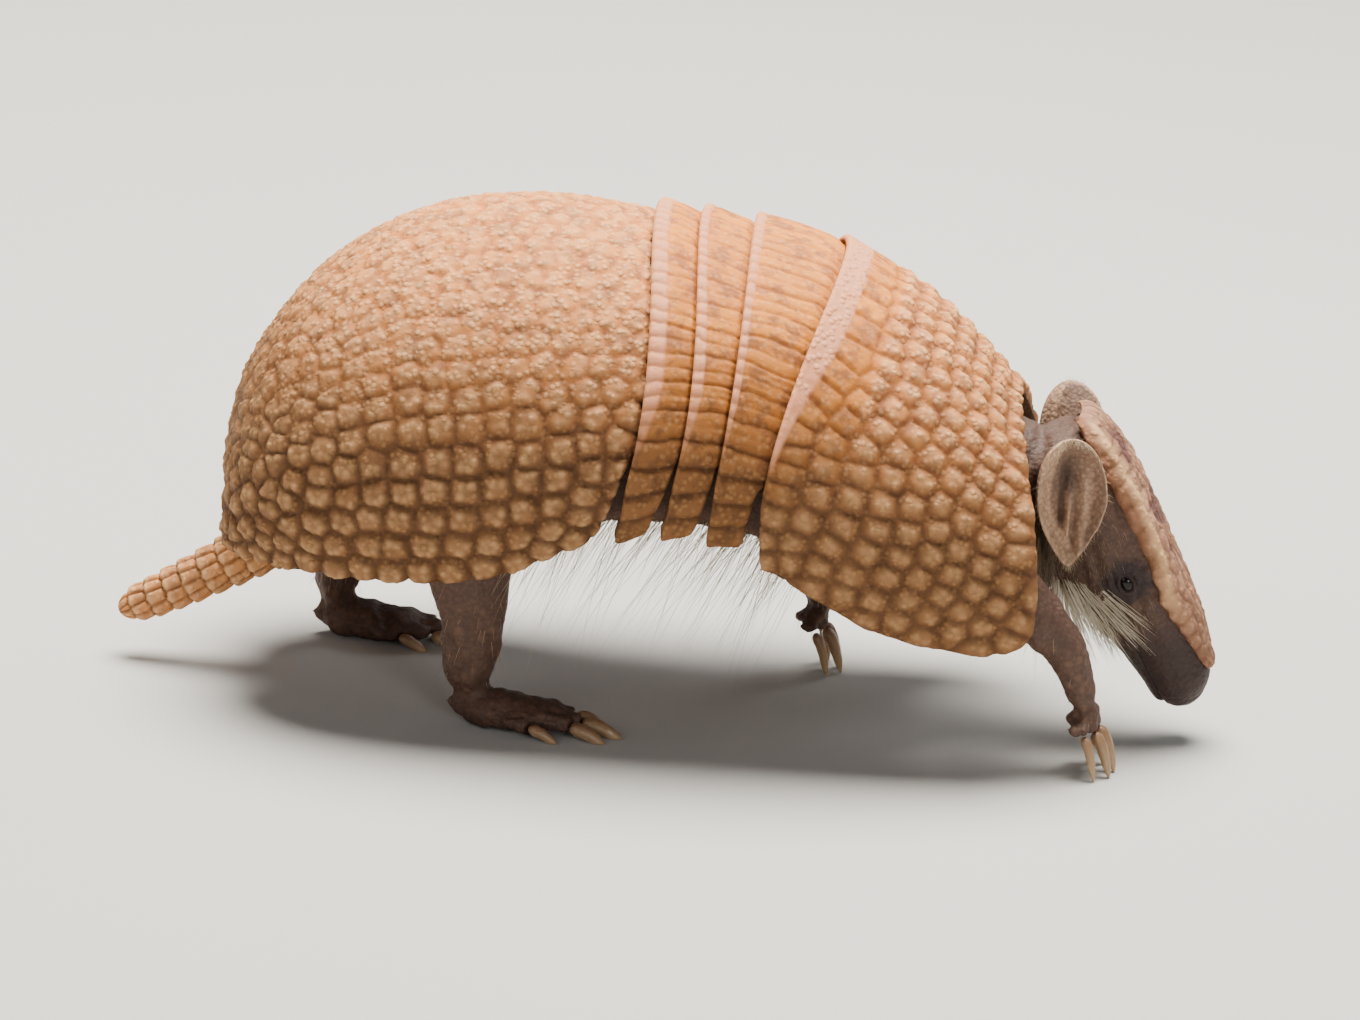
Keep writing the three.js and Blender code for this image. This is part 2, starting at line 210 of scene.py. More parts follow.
def points_of(piece):
    return vertex_values(piece, "co") / MM


def normals_of(piece):
    return vertex_values(piece, "normal")


def move_points(piece, points):
    piece.data.vertices.foreach_set("co", (points * MM).ravel())
    piece.data.update()


def mark(piece, **fields):
    """Keeps a number for each vertex under a name, for the material to read."""
    for name, values in fields.items():
        layer = piece.data.attributes.new(name, "FLOAT", "POINT")
        layer.data.foreach_set("value", np.ascontiguousarray(values, dtype=np.float32).ravel())


def apply_modifier(piece, kind, **settings):
    choose(piece)
    modifier = piece.modifiers.new(kind.title(), kind)
    for name, value in settings.items():
        setattr(modifier, name, value)
    bpy.ops.object.modifier_apply(modifier=modifier.name)


def make_mesh(name, points, faces):
    mesh = bpy.data.meshes.new(name)
    mesh.from_pydata((points * MM).tolist(), [], faces)
    mesh.shade_smooth()
    piece = bpy.data.objects.new(name, mesh)
    bpy.context.collection.objects.link(piece)
    return piece


def add_ball(segments, rings, radius=1, place=(0, 0, 0)):
    """A new sphere, in metres, as the active piece."""
    deselect()
    bpy.ops.mesh.primitive_uv_sphere_add(segments=segments, ring_count=rings, radius=radius, location=place)
    return bpy.context.view_layer.objects.active


def rename(piece, name):
    piece.name = piece.data.name = name


def finish_piece(piece, finish, nodes):
    """Gives a piece its material, hangs it from the root body and hides the nodes it stands for."""
    piece.data.materials.clear()
    piece.data.materials.append(finish)
    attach(piece, "root")
    if nodes:
        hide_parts(*nodes)


def copy_of(*nodes):
    """One new piece from copies of CAD nodes, with their loose triangles merged."""
    copies = []
    for node in nodes:
        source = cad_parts[node]
        copy = bpy.data.objects.new(node + "_copy", source.data.copy())
        copy.matrix_world = source.matrix_world
        bpy.context.collection.objects.link(copy)
        copies.append(copy)
    choose(*copies)
    if len(copies) > 1:
        bpy.ops.object.join()
    piece = bpy.context.view_layer.objects.active
    bpy.ops.object.mode_set(mode="EDIT")
    bpy.ops.mesh.select_all(action="SELECT")
    bpy.ops.mesh.remove_doubles(threshold=0.01 * MM)
    bpy.ops.object.mode_set(mode="OBJECT")
    return piece


def noise_at(points, size, seed=0):
    """Smooth noise, about -1 to 1, with features of that size."""
    shifted = (points / size + seed * NOISE_STEP).reshape(-1, 3).tolist()
    return np.array([noise.noise(Vector(p)) for p in shifted]).reshape(points.shape[:-1])


def closed_plate(name, outer, inner_rows, inner):
    """A plate with a fine outer grid [row, column, xyz] and an inner grid that has only some of its rows."""
    rows, columns = outer.shape[:2]
    index = np.arange(rows * columns).reshape(rows, columns)
    under = rows * columns + np.arange(len(inner_rows) * columns).reshape(-1, columns)

    def quads(a, b, c, d):
        return np.stack([a, b, c, d], -1).reshape(-1, 4).tolist()

    faces = quads(index[:-1, :-1], index[:-1, 1:], index[1:, 1:], index[1:, :-1])
    faces += quads(under[:-1, :-1], under[1:, :-1], under[1:, 1:], under[:-1, 1:])
    faces += quads(under[0, :-1], under[0, 1:], index[0, 1:], index[0, :-1])
    faces += quads(under[-1, 1:], under[-1, :-1], index[-1, :-1], index[-1, 1:])
    for i, (start, stop) in enumerate(zip(inner_rows[:-1], inner_rows[1:])):
        for column, turn in ((0, 1), (-1, -1)):
            wall = index[start:stop + 1, column].tolist() + [int(under[i + 1, column]), int(under[i, column])]
            faces.append(wall[::turn])
    return make_mesh(name, np.vstack([outer.reshape(-1, 3), inner.reshape(-1, 3)]), faces)


# ---------------------------------------------------------------- scutes

def nearest_scutes(points, seeds):
    """For each point, the scute it lies in and its distance to that scute's border."""
    tree = KDTree(len(seeds))
    for i, seed in enumerate(seeds):
        tree.insert(seed, i)
    tree.balance()
    flat = points.reshape(-1, 3)
    found = np.array([[(hit[1], hit[2]) for hit in tree.find_n(p, 5)] for p in flat.tolist()])
    owner = found[:, 0, 0].astype(int)
    others = found[:, 1:, 0].astype(int)
    apart = np.linalg.norm(seeds[others] - seeds[owner][:, None], axis=-1)
    border = (found[:, 1:, 1] ** 2 - found[:, :1, 1] ** 2) / (2 * np.maximum(apart, 0.1))
    return owner.reshape(points.shape[:-1]), border.min(1).reshape(points.shape[:-1])


def thin_out(points, least):
    """Drops each point that lies closer than `least` to one kept before it."""
    kept = np.empty((0, 3))
    for i, point in enumerate(points):
        gap = least[i] if np.ndim(least) else least
        if not len(kept) or np.min(np.linalg.norm(kept - point, axis=1)) > gap:
            kept = np.vstack([kept, point])
    return kept


def along_line(stations, sides, distances):
    """Where given distances from the start of a line on the shell lie, as stations and sides."""
    line = shell_skin(stations, sides)
    length = np.concatenate([[0], np.cumsum(np.linalg.norm(np.diff(line, axis=0), axis=1))])
    inside = distances[(distances >= 0) & (distances <= length[-1])]
    return np.interp(inside, length, stations), np.interp(inside, length, sides)


def hip_seeds():
    """Scutes in rows that run back from the bands: squarish and in line low down, staggered above."""
    half_girth = TUCK * 49
    sizes = [blend(6.3, 5.2, smoothstep(row, 4, 10)) for row in range(30)]
    places = np.cumsum(sizes) - 0.5 * np.array(sizes)
    count = int(np.searchsorted(places, half_girth))
    places = places[:count + 1] * half_girth / places[count]
    stations = np.linspace(HIP_FRONT - 0.2, LAST, 160)
    seeds = []
    for row, place in enumerate(places):
        size, low = sizes[row], 1 - place / half_girth
        edge = 4.6 + 23 * (SEAM + RIM_GAP["shield"] * smoothstep(low, 0.81, 0.95))
        stagger = 0.5 + (0.5 * (row % 2) if row > 4 else 0.12 * row)
        distances = edge + (np.arange(-1, 34) + stagger) * size
        for turn in (1, -1) if row < count else (1,):
            station, side = along_line(stations, np.full(160, low * turn), distances)
            seeds.append(shell_skin(station, side))
    seeds = thin_out(np.vstack(seeds), 4.3)
    return seeds + random.normal(0, 1, seeds.shape) * blend(0.45, 0.65, smoothstep(seeds[:, 2:], 50, 75))


def shoulder_seeds():
    """Scutes in staggered rows across the back; the last row is long, like the scutes of the bands."""
    seeds = []
    sides = np.linspace(-1, 1, 400)
    away = np.abs(sides)
    on_top = smoothstep(-away, -0.62, -0.35)
    for row in range(12):
        back = (blend(5.6, 11.3, on_top) if row == 0
                else blend(blend(8.6, 11.2, smoothstep(-away, -0.9, -0.75)), 16.6, on_top) + 5.3 * (row - 1))
        if row == 0:
            back = blend(3.4, back, smoothstep(-away, -0.9, -0.75))
        stations = SHOULDER_REAR * (1 - back / blend(49, 56, away))
        if stations.max() < 0.02:
            continue
        line = shell_skin(np.clip(stations, 0, LAST), sides)
        width = np.full(len(sides), 5.4)
        if row == 0:
            width = blend(blend(5.4, 4.3, smoothstep(-away, -0.85, -0.75)), 6.6, on_top)
        steps = np.linalg.norm(np.diff(line, axis=0), axis=1)
        count = np.concatenate([[0], np.cumsum(steps / width[1:])])
        wanted = np.arange(0.5 + 0.5 * (row % 2), count[-1], 1)
        station = np.interp(wanted, count, stations)
        side = np.interp(wanted, count, sides)
        inside = station > 0.01
        seeds.append(shell_skin(station[inside], side[inside]))
    seeds = np.vstack(seeds)
    return seeds + random.normal(0, 0.32, seeds.shape)


def dome(border, width, height):
    """How far a scute stands up at a distance from its border."""
    return height * (1 - (1 - np.clip(border / width, 0, 1)) ** 2.2)


def tubercles(points, seeds, owner, ring, size, count):
    """Knobs near the middle of each scute: a height, 0 to 1."""
    turn = random.uniform(0, 2 * math.pi, len(seeds))
    knobs = random.integers(count[0], count[1] + 1, len(seeds))
    axis = unit(seeds - seeds.mean(0) + 1e-6)
    first = unit(np.cross(axis, [0.3, 0.2, 1.0]))
    second = np.cross(axis, first)
    total = np.zeros(points.shape[:-1])
    for k in range(count[1]):
        angle = turn + k * 2 * math.pi / knobs
        reach = ring * np.where(knobs > 1, 1, 0) * random.uniform(0.8, 1.2, len(seeds))
        centre = seeds + (first * np.cos(angle)[:, None] + second * np.sin(angle)[:, None]) * reach[:, None]
        gap = np.linalg.norm(points - centre[owner], axis=-1)
        total = np.maximum(total, np.where(k < knobs[owner], hill(gap, 0, size), 0))
    return total


# ---------------------------------------------------------------- carapace

def draw_back(side, kind):
    """How far an edge of a plate draws back, in stations, as in the solids."""
    low = np.abs(side)
    bend = 1 - np.sqrt(1 - np.clip((low - 0.94) / 0.06, 0, 1) ** 2)
    return SEAM + RIM_GAP[kind] * smoothstep(low, 0.81, 0.95) + CORNER[kind] * bend


def plate_grid(front, rear, rows, columns):
    """Stations and sides over a plate, with its lengths along and across in millimetres."""
    t = np.linspace(0, 1, rows)[:, None]
    side = np.linspace(-1, 1, columns)[None, :]
    station = blend(front(side), rear(side), t)
    side = np.broadcast_to(side, station.shape)
    points = shell_skin(station, side)
    long = np.linalg.norm(np.diff(points, axis=0), axis=-1).sum(0)[None, :]
    wide = np.linalg.norm(np.diff(points, axis=1), axis=-1).sum(1)[:, None]
    return t, station, side, long, wide


def edge_drop(distance, radius):
    """How far a rounded edge falls away at a distance from it."""
    return radius - np.sqrt(np.maximum(radius**2 - np.clip(radius - distance, 0, radius) ** 2, 0))


def make_plate(name, node, station, side, rise, relief, thickness, inner_count, fields):
    """A plate of the carapace, from grids of its rise over the shell, its relief and its thickness."""
    points, normals = shell_frame(station, side)
    outer = points + normals * (rise + relief)[..., None]
    inner_rows = np.unique(np.linspace(0, len(station) - 1, inner_count).astype(int))
    inner = (points + normals * (rise - thickness)[..., None])[inner_rows]
    piece = closed_plate(name, outer, inner_rows.tolist(), inner)
    # high runs from 0 low on the shell to 1 on top of the back; the horn grows lighter along it, partly its
    # own tone and partly painted light from above with painted shade low down.
    fields["high"] = smoothstep(points[..., 2] + 0.22 * np.maximum(points[..., 0], 0), 58, 108)
    pad = np.zeros(inner[..., 0].size)
    marks = {key: np.append(np.broadcast_to(value, station.shape), pad) for key, value in fields.items()}
    mark(piece, **marks)
    finish_piece(piece, horn, [node])


def scalloped(side, border):
    """Draws the rim in a little between the scutes that end at it."""
    notch = 0.011 * (1 - np.clip(border / 1.9, 0, 1)) ** 1.5 * smoothstep(np.abs(side), 0.955, 0.995)
    return side * (1 - notch)


def shoulder_shield():
    rows, columns = 124, 430

    def neck_edge(side):
        return 0.4 * (1 - np.sqrt(1 - np.clip((np.abs(side) - 0.88) / 0.12, 0, 1) ** 2))

    t, station, side, long, wide = plate_grid(
        neck_edge, lambda side: SHOULDER_REAR - draw_back(side, "shield"), rows, columns)
    points, _ = shell_frame(station, side)
    seeds = shoulder_seeds()
    owner, border = nearest_scutes(points, seeds)
    side = scalloped(side, border)
    away = np.abs(side)
    from_rear, from_front = (1 - t) * long, t * long
    from_rim = (1 - away) * wide / 2
    # A flat pale stripe lies along the rear edge on top, and a long row of scutes in front of it.
    stripe = 6.2 * (1 - smoothstep(away, 0.3, 0.86)) * (1 + 0.08 * noise_at(points, 4, 31))
    margin = smoothstep(stripe - from_rear, -0.5, 0.5) * smoothstep(away, 0.76, 0.66)
    long_row = smoothstep(from_rear, 15.4, 13.6) * smoothstep(away, 0.74, 0.5) * (1 - margin)
    side_row = smoothstep(from_rear, 8.6, 7.6) * smoothstep(away, 0.45, 0.6) * smoothstep(away, 0.86, 0.76)
    band_share = np.maximum(long_row, 0.7 * side_row)
    border = np.where(margin > 0.5, 9, border)
    knob = tubercles(points, seeds, owner, 1.15, 0.8, (2, 4))
    lumps = noise_at(points, 1.7, 32)
    middle = np.linalg.norm(points - seeds[owner], axis=-1)
    round_top = dome(border, 2.6, 0.42) + 0.5 * np.clip(1 - (middle / 3.3) ** 2, 0, 1)
    round_top += 0.38 * knob + 0.22 * lumps
    flat_top = dome(border, 1.5, 0.65) + 0.18 * lumps
    height = blend(blend(round_top, flat_top, band_share), 0.75 + 0.16 * lumps, margin)
    wave = 0.3 * noise_at(points, 14, 33)
    drop = edge_drop(from_rear, 0.8) + edge_drop(from_front, 1.2) + edge_drop(from_rim, 1.3)
    rise = LAP * t**5 - SUNK["shoulder"]
    fields = {
        "top": blend(np.clip(border / 2.2 + 0.1, 0, 1), 1, margin),
        "tint": random.uniform(0, 1, len(seeds))[owner],
        # pale: painted highlight on the knobs and the crown of each scute
        "pale": (0.5 * knob + 0.4 * np.clip(1 - middle / 2.9, 0, 1)) * (1 - band_share) * (1 - margin),
        "margin": margin, "band": band_share,
    }
    make_plate("shoulder_shield", "scapular_shield", station, side, rise, height + wave - drop,
               SHELL - SUNK["shoulder"], 10, fields)


def lip(side, reach):
    """How far a plate runs on under the one before it, in stations."""
    return reach * (1 - smoothstep(np.abs(side), 0.7, 0.82))


def lapped(station, front, rear, rise_at):
    """Rise and wall thickness of a plate whose front edge slips under the plate before it."""
    share = (station - front) / (rear - front)
    under = smoothstep(front - station, -0.02, 0.1)
    return rise_at(np.clip(share, 0, 1)) - 0.85 * under, blend(SHELL, 0.9, under)


def band(name, node, front_station):
    """A band: one row of broad scutes, with a row of small pale beads along its rear edge."""
    rows, columns = 34, 620

    def front(side):
        return front_station + draw_back(side, "band")

    def rear(side):
        return front_station + 1 - draw_back(side, "band")

    t, station, side, long, wide = plate_grid(lambda side: front(side) - lip(side, 0.3), rear, rows, columns)
    points, _ = shell_frame(station, side)
    girth = float(wide.mean()) / 2
    count = round(girth / 6.3)
    sway = 0.7 * noise_at(points, 7, front_station) + 0.3 * noise_at(points, 2, 40 + front_station)
    out = np.abs(side) * wide / 2 + sway
    scute = np.clip(out / girth * count, 0, count - 0.01)
    share = scute % 1
    border = np.minimum(share, 1 - share) * girth / count
    from_rear, from_front = (1 - t) * long, t * long
    from_rim = (1 - np.abs(side)) * wide / 2
    low = smoothstep(np.abs(side), 0.56, 0.8)
    bead = (2.4 + 0.3 * noise_at(points, 3, 41 + front_station)) * (1 - 0.9 * low)
    margin = smoothstep(bead - from_rear, -0.3, 0.3) * (1 - low)
    beads = np.abs(np.sin(scute * 2 * math.pi + 0.7 * noise_at(points, 4, 42)))
    streak = noise_at(np.stack([station * 1.2, out, out], -1), 1.5, 43 + front_station)
    lumps = noise_at(points, 1.7, 44 + front_station)
    between = np.abs(share - 0.5) * girth / count + 0.4 * noise_at(points, 2.5, 46 + front_station)
    fine = dome(np.minimum(border, np.abs(between)), 1.0, 0.24) + 0.14 * dome(border, 1.1, 1) + 0.13 * streak
    height = blend(fine, dome(border, 2.2, 0.9) + 0.16 * lumps, low) + 0.25
    height -= 0.3 * hill(from_rear, bead + 0.3, 0.5) * (1 - low)
    height = blend(height, 0.2 + 0.5 * beads**0.6, margin)
    drop = edge_drop(from_rear, 0.7) + edge_drop(from_rim, 1.5) + edge_drop(from_front, 0.7) * low
    rise, thickness = lapped(station, front(side), rear(side),
                             lambda share: blend(-LAP, LAP, share) - SUNK["band"])
    number = scute.astype(int) + count * (side > 0)
    soft = np.minimum(0.25 + border / 1.7, 0.45 + np.abs(between) / 1.2) + 0.2 * streak
    fields = {
        "top": np.clip(blend(soft, border / 1.7, low), 0, 1),
        "tint": random.uniform(0, 1, 2 * count)[number],
        "pale": 0 * border, "margin": margin * blend(0.55, 1, beads**0.6), "band": 1 - 0.6 * low,
    }
    make_plate(name, node, station, side, rise, height - drop, thickness - SUNK["band"], 6, fields)


def hip_shield():
    rows, columns = 232, 372

    def front(side):
        return HIP_FRONT + draw_back(side, "shield")

    def rear(side):
        return LAST + 0 * side

    t, station, side, long, wide = plate_grid(lambda side: front(side) - lip(side, 0.13), rear, rows, columns)
    points, _ = shell_frame(station, side)
    seeds = hip_seeds()
    owner, border = nearest_scutes(points, seeds)
    side = scalloped(side, border)
    from_rear, from_front = (1 - t) * long, t * long
    from_rim = (1 - np.abs(side)) * wide / 2
    low = smoothstep(np.abs(side), 0.45, 0.8)
    lumps = noise_at(points, 1.6, 4)
    knob = tubercles(points, seeds, owner, 1.7, 0.85, (4, 7))
    middle = np.linalg.norm(points - seeds[owner], axis=-1)
    height = dome(border, blend(1.5, 2.4, low), blend(0.3, 0.8, low)) + 0.26 * lumps
    height += blend(0.15, 0.3, low) * np.clip(1 - (middle / 3.6) ** 2, 0, 1) + blend(0.42, 0.62, low) * knob
    wave = 0.35 * noise_at(points, 16, 5)
    drop = edge_drop(from_rear, 1.2) + edge_drop(from_rim, 1.4) + edge_drop(from_front, 0.7)
    rise, thickness = lapped(station, front(side), rear(side),
                             lambda share: -LAP * (1 - share) ** 12 - SUNK["hip"])
    fields = {
        "top": np.clip(border / 2.0 + 0.35 * (1 - low) * (1 + lumps), 0, 1),
        "tint": random.uniform(0, 1, len(seeds))[owner],
        # pale: painted highlight on the knobs and the crown of each scute
        "pale": blend(0.5, 0.95, low) * knob + 0.25 * np.clip(1 - middle / 3, 0, 1),
        "margin": 0 * border, "band": 0 * border,
    }
    make_plate("hip_shield", "pelvic_shield", station, side, rise, height + wave - drop,
               thickness - SUNK["hip"], 12, fields)


# ---------------------------------------------------------------- head shield and tail

def head_shield():
    """Horny scutes over the brow: a raised pale row along each margin and rough dark-pitted ones between."""
    rows, columns = 200, 130
    outline = smooth_rows(BROW_OUTLINE)
    t = np.linspace(0, 1, rows)[:, None]
    width = np.linspace(-1, 1, columns)[None, :]
    shares = np.linspace(0, 1, 400)
    rim = outline(t)
    share = np.interp(rim[..., 0], head_at(shares)[:, 0], shares)
    # The margin waves out at each scute, and the shield's two ends are round.
    end = np.sqrt(np.clip(1 - np.abs(2 * t - 1) ** 15, 0, 1))
    scallop = 1 + 0.014 * np.cos(2 * math.pi * 14 * t) * np.abs(width) ** 6
    half = rim[..., 1] * blend(0.6, 1, end) * scallop
    angle = np.arcsin(np.clip(width * half / head_at(share)[..., 1], -0.97, 0.97))
    share = np.broadcast_to(share, angle.shape)

    def surface(rise):
        return from_head(head_skin(share, angle, rise))

    points = surface(1.2)
    # A row of beads along each edge; in between the scutes are small, rough and of no clear order.
    cells = [[(row + 0.5) / 16, turn * 0.86] for row in range(16) for turn in (1, -1)]
    for row in range(17):
        count = round(6.6 * float(outline(np.array([row / 17]))[0, 1]) / 13)
        cells += [[(row + 0.6) / 17, 0.64 * (2 * (k + 0.5) / count - 1)] for k in range(count)]
    cells = np.array(cells)
    row_at, column_at = cells[:, 0] * (rows - 1), (cells[:, 1] + 1) / 2 * (columns - 1)
    seeds = points[np.clip(row_at.round().astype(int), 0, rows - 1), column_at.round().astype(int)]
    seeds = seeds + random.normal(0, 0.55, seeds.shape)
    owner, border = nearest_scutes(points, seeds)
    sway = 0.05 * noise_at(points, 4, 61)
    crest_at = blend(0.74, 0.93, smoothstep(t, 0.35, 0.6))
    crest = hill(np.abs(width) + sway, crest_at, 0.09) * (0.8 + 0.4 * noise_at(points, 4, 64))
    crest *= smoothstep(t, 0.8, 0.42) * smoothstep(t, 0.0, 0.04)
    outside = smoothstep(np.abs(width) + sway, crest_at + 0.08, crest_at + 0.16)
    from_edge = (1 - np.abs(width)) * half
    from_end = np.minimum(t, 1 - t) * BROW_OUTLINE[-1][0]
    lumps = noise_at(points, 1.8, 62)
    # Dark worn patches lie along the middle, behind the eyes.
    pits = smoothstep(noise_at(points * [1, 1, 0.7], 4.2, 63) + 0.25 * lumps, -0.08, 0.22)
    pits *= smoothstep(np.abs(width), 0.62, 0.42) * smoothstep(t, 0.05, 0.12) * smoothstep(t, 0.55, 0.42)
    height = dome(border, 1.5, 0.36) * (1 - 0.6 * crest) + 0.26 * lumps
    height = height - 0.3 * pits + 0.7 * crest - 0.3 * outside
    rise = 0.75 + height - edge_drop(from_edge, 1.1) - edge_drop(from_end, 1.6)
    inner_rows = np.unique(np.linspace(0, rows - 1, 12).astype(int))
    piece = closed_plate("brow_shield", surface(rise), inner_rows.tolist(), surface(-0.9)[inner_rows])
    pad = np.zeros(inner_rows.size * columns)
    low_end = np.broadcast_to(smoothstep(t, 0.5, 0.9), border.shape)
    marks = {"top": np.clip(border / 1.7 + 0.2, 0, 1), "margin": np.clip(crest, 0, 1), "pits": pits,
             "tint": random.uniform(0, 1, len(seeds))[owner], "low_end": low_end, "outside": outside}
    mark(piece, **{key: np.append(value, pad) for key, value in marks.items()})
    finish_piece(piece, brow_horn, ["head_shield"])


def tail_scutes():
    """The tail: rings of rough scutes round a tapering core, closed at both ends."""
    around, along = 112, 150
    row_at = smooth_rows(TAIL)
    piece = add_ball(around, along)
    rename(piece, "tail_rings")
    ball = points_of(piece) * MM
    t = 1 - np.arccos(np.clip(ball[:, 2], -1, 1)) / math.pi
    angle = np.arctan2(ball[:, 1], ball[:, 0])
    near, far = row_at(t - 0.01), row_at(t + 0.01)
    down = unit((far - near)[:, :3])
    outward = np.array([0, 1.0, 0])
    forward = np.cross(outward, down)
    end = np.clip(np.minimum(t, 1 - t) / 0.12, 0, 1)
    swell = np.sqrt(1 - (1 - end) ** 2)
    row = row_at(t)
    radial = forward * np.cos(angle)[:, None] + outward * np.sin(angle)[:, None]
    core = row[:, :3] + SHIFT
    skin = core + (forward * (np.cos(angle) * row[:, 3])[:, None]
                   + outward * (np.sin(angle) * row[:, 4])[:, None]) * swell[:, None]
    seeds = []
    ring_count = 11
    for ring in range(ring_count):
        place = (ring + 0.7) / ring_count
        here = row_at(np.array([place]))[0]
        count = 11 if ring < 7 else 9
        turns = (np.arange(count) + 0.5 * (ring % 2)) / count * 2 * math.pi
        lean = (row_at(np.array([place + 0.02])) - row_at(np.array([place - 0.02])))[0, :3]
        front = np.cross(outward, lean / np.linalg.norm(lean))
        seeds.append(here[:3] + SHIFT + np.outer(np.cos(turns) * here[3], front)
                     + np.outer(np.sin(turns) * here[4], outward))
    seeds = np.vstack(seeds) + random.normal(0, 0.15, (sum(map(len, seeds)), 3))
    owner, border = nearest_scutes(skin, seeds)
    lengthwise = ((skin - seeds[owner]) * down).sum(1)
    height = dome(border, 1.1, 0.8) + 0.18 * np.clip(lengthwise, -2, 2) + 0.12 * noise_at(skin, 1.2, 8)
    move_points(piece, skin + radial * ((height - 0.9) * swell)[:, None])
    mark(piece, top=np.clip(border / 0.9, 0, 1), tint=random.uniform(0, 1, len(seeds))[owner],
         # pale: painted highlight along the raised rear of each scute
         margin=0 * border, pale=0.35 + 0.6 * smoothstep(lengthwise, 0.0, 1.6), band=0 * border,
         # The tail keeps one fixed share of the shell's lighter top colour, painted light included.
         high=0 * border + 0.66)
    piece.data.shade_smooth()
    finish_piece(piece, horn, ["tail"])


# ---------------------------------------------------------------- skin

FLESH = ["trunk", "neck", "head", "leg_front_right", "leg_front_left", "leg_hind_right", "leg_hind_left"]
VOXEL = 0.62


def fill_sockets(piece):
    """Fills each eye's socket with a ball a little larger than the eye, which the lids are made from."""
    balls = []
    for side in SIDES.values():
        centre = from_head(np.array(EYE) * [1, side, 1]) * MM
        balls.append(add_ball(40, 24, (EYE_RADIUS + 0.75) * MM, centre.tolist()))
    choose(piece, *balls)
    bpy.ops.object.join()


def refine(piece, chosen):
    """Divides the faces between the chosen points once."""
    choose(piece)
    mesh = piece.data
    mesh.polygons.foreach_set("select", np.zeros(len(mesh.polygons), dtype=bool))
    mesh.edges.foreach_set("select", np.zeros(len(mesh.edges), dtype=bool))
    mesh.vertices.foreach_set("select", chosen.astype(bool))
    bpy.ops.object.mode_set(mode="EDIT")
    bpy.ops.mesh.select_mode(type="VERT")
    bpy.ops.mesh.subdivide(number_cuts=1)
    bpy.ops.object.mode_set(mode="OBJECT")


def eye_opening(offset):
    """How far from the middle of the eye a point lies, where 1 is the edge of the lids."""
    return np.hypot((offset[:, 0] + 0.2 * offset[:, 2]) / 1.8, (offset[:, 2] - 0.1 * offset[:, 0]) / 1.1)


def lids(local, side):
    """The skin round an eye, in the head's frame: lids that wrap the ball and leave it open between them."""
    centre = np.array(EYE) * [1, side, 1]
    offset = local - centre
    distance = np.linalg.norm(offset, axis=1)
    direction = offset / np.maximum(distance, 1e-6)[:, None]
    opening = eye_opening(offset)
    outward = smoothstep(offset[:, 1] * side, 0.2, 1.4)
    near = (1 - smoothstep(distance, 3.4, 6.0)) * outward
    fold = 0.25 * hill(opening, 1.35, 0.22) - 0.35 * hill(opening, 2.2, 0.3) + 0.2 * hill(opening, 2.9, 0.35)
    lid = blend(EYE_RADIUS - 1.1, EYE_RADIUS + 0.4 + fold, smoothstep(opening, 0.85, 1.1))
    radius = blend(lid, np.maximum(lid, distance + fold), smoothstep(opening, 1.2, 2.0))
    return blend(local, centre + direction * radius[:, None], near[:, None])


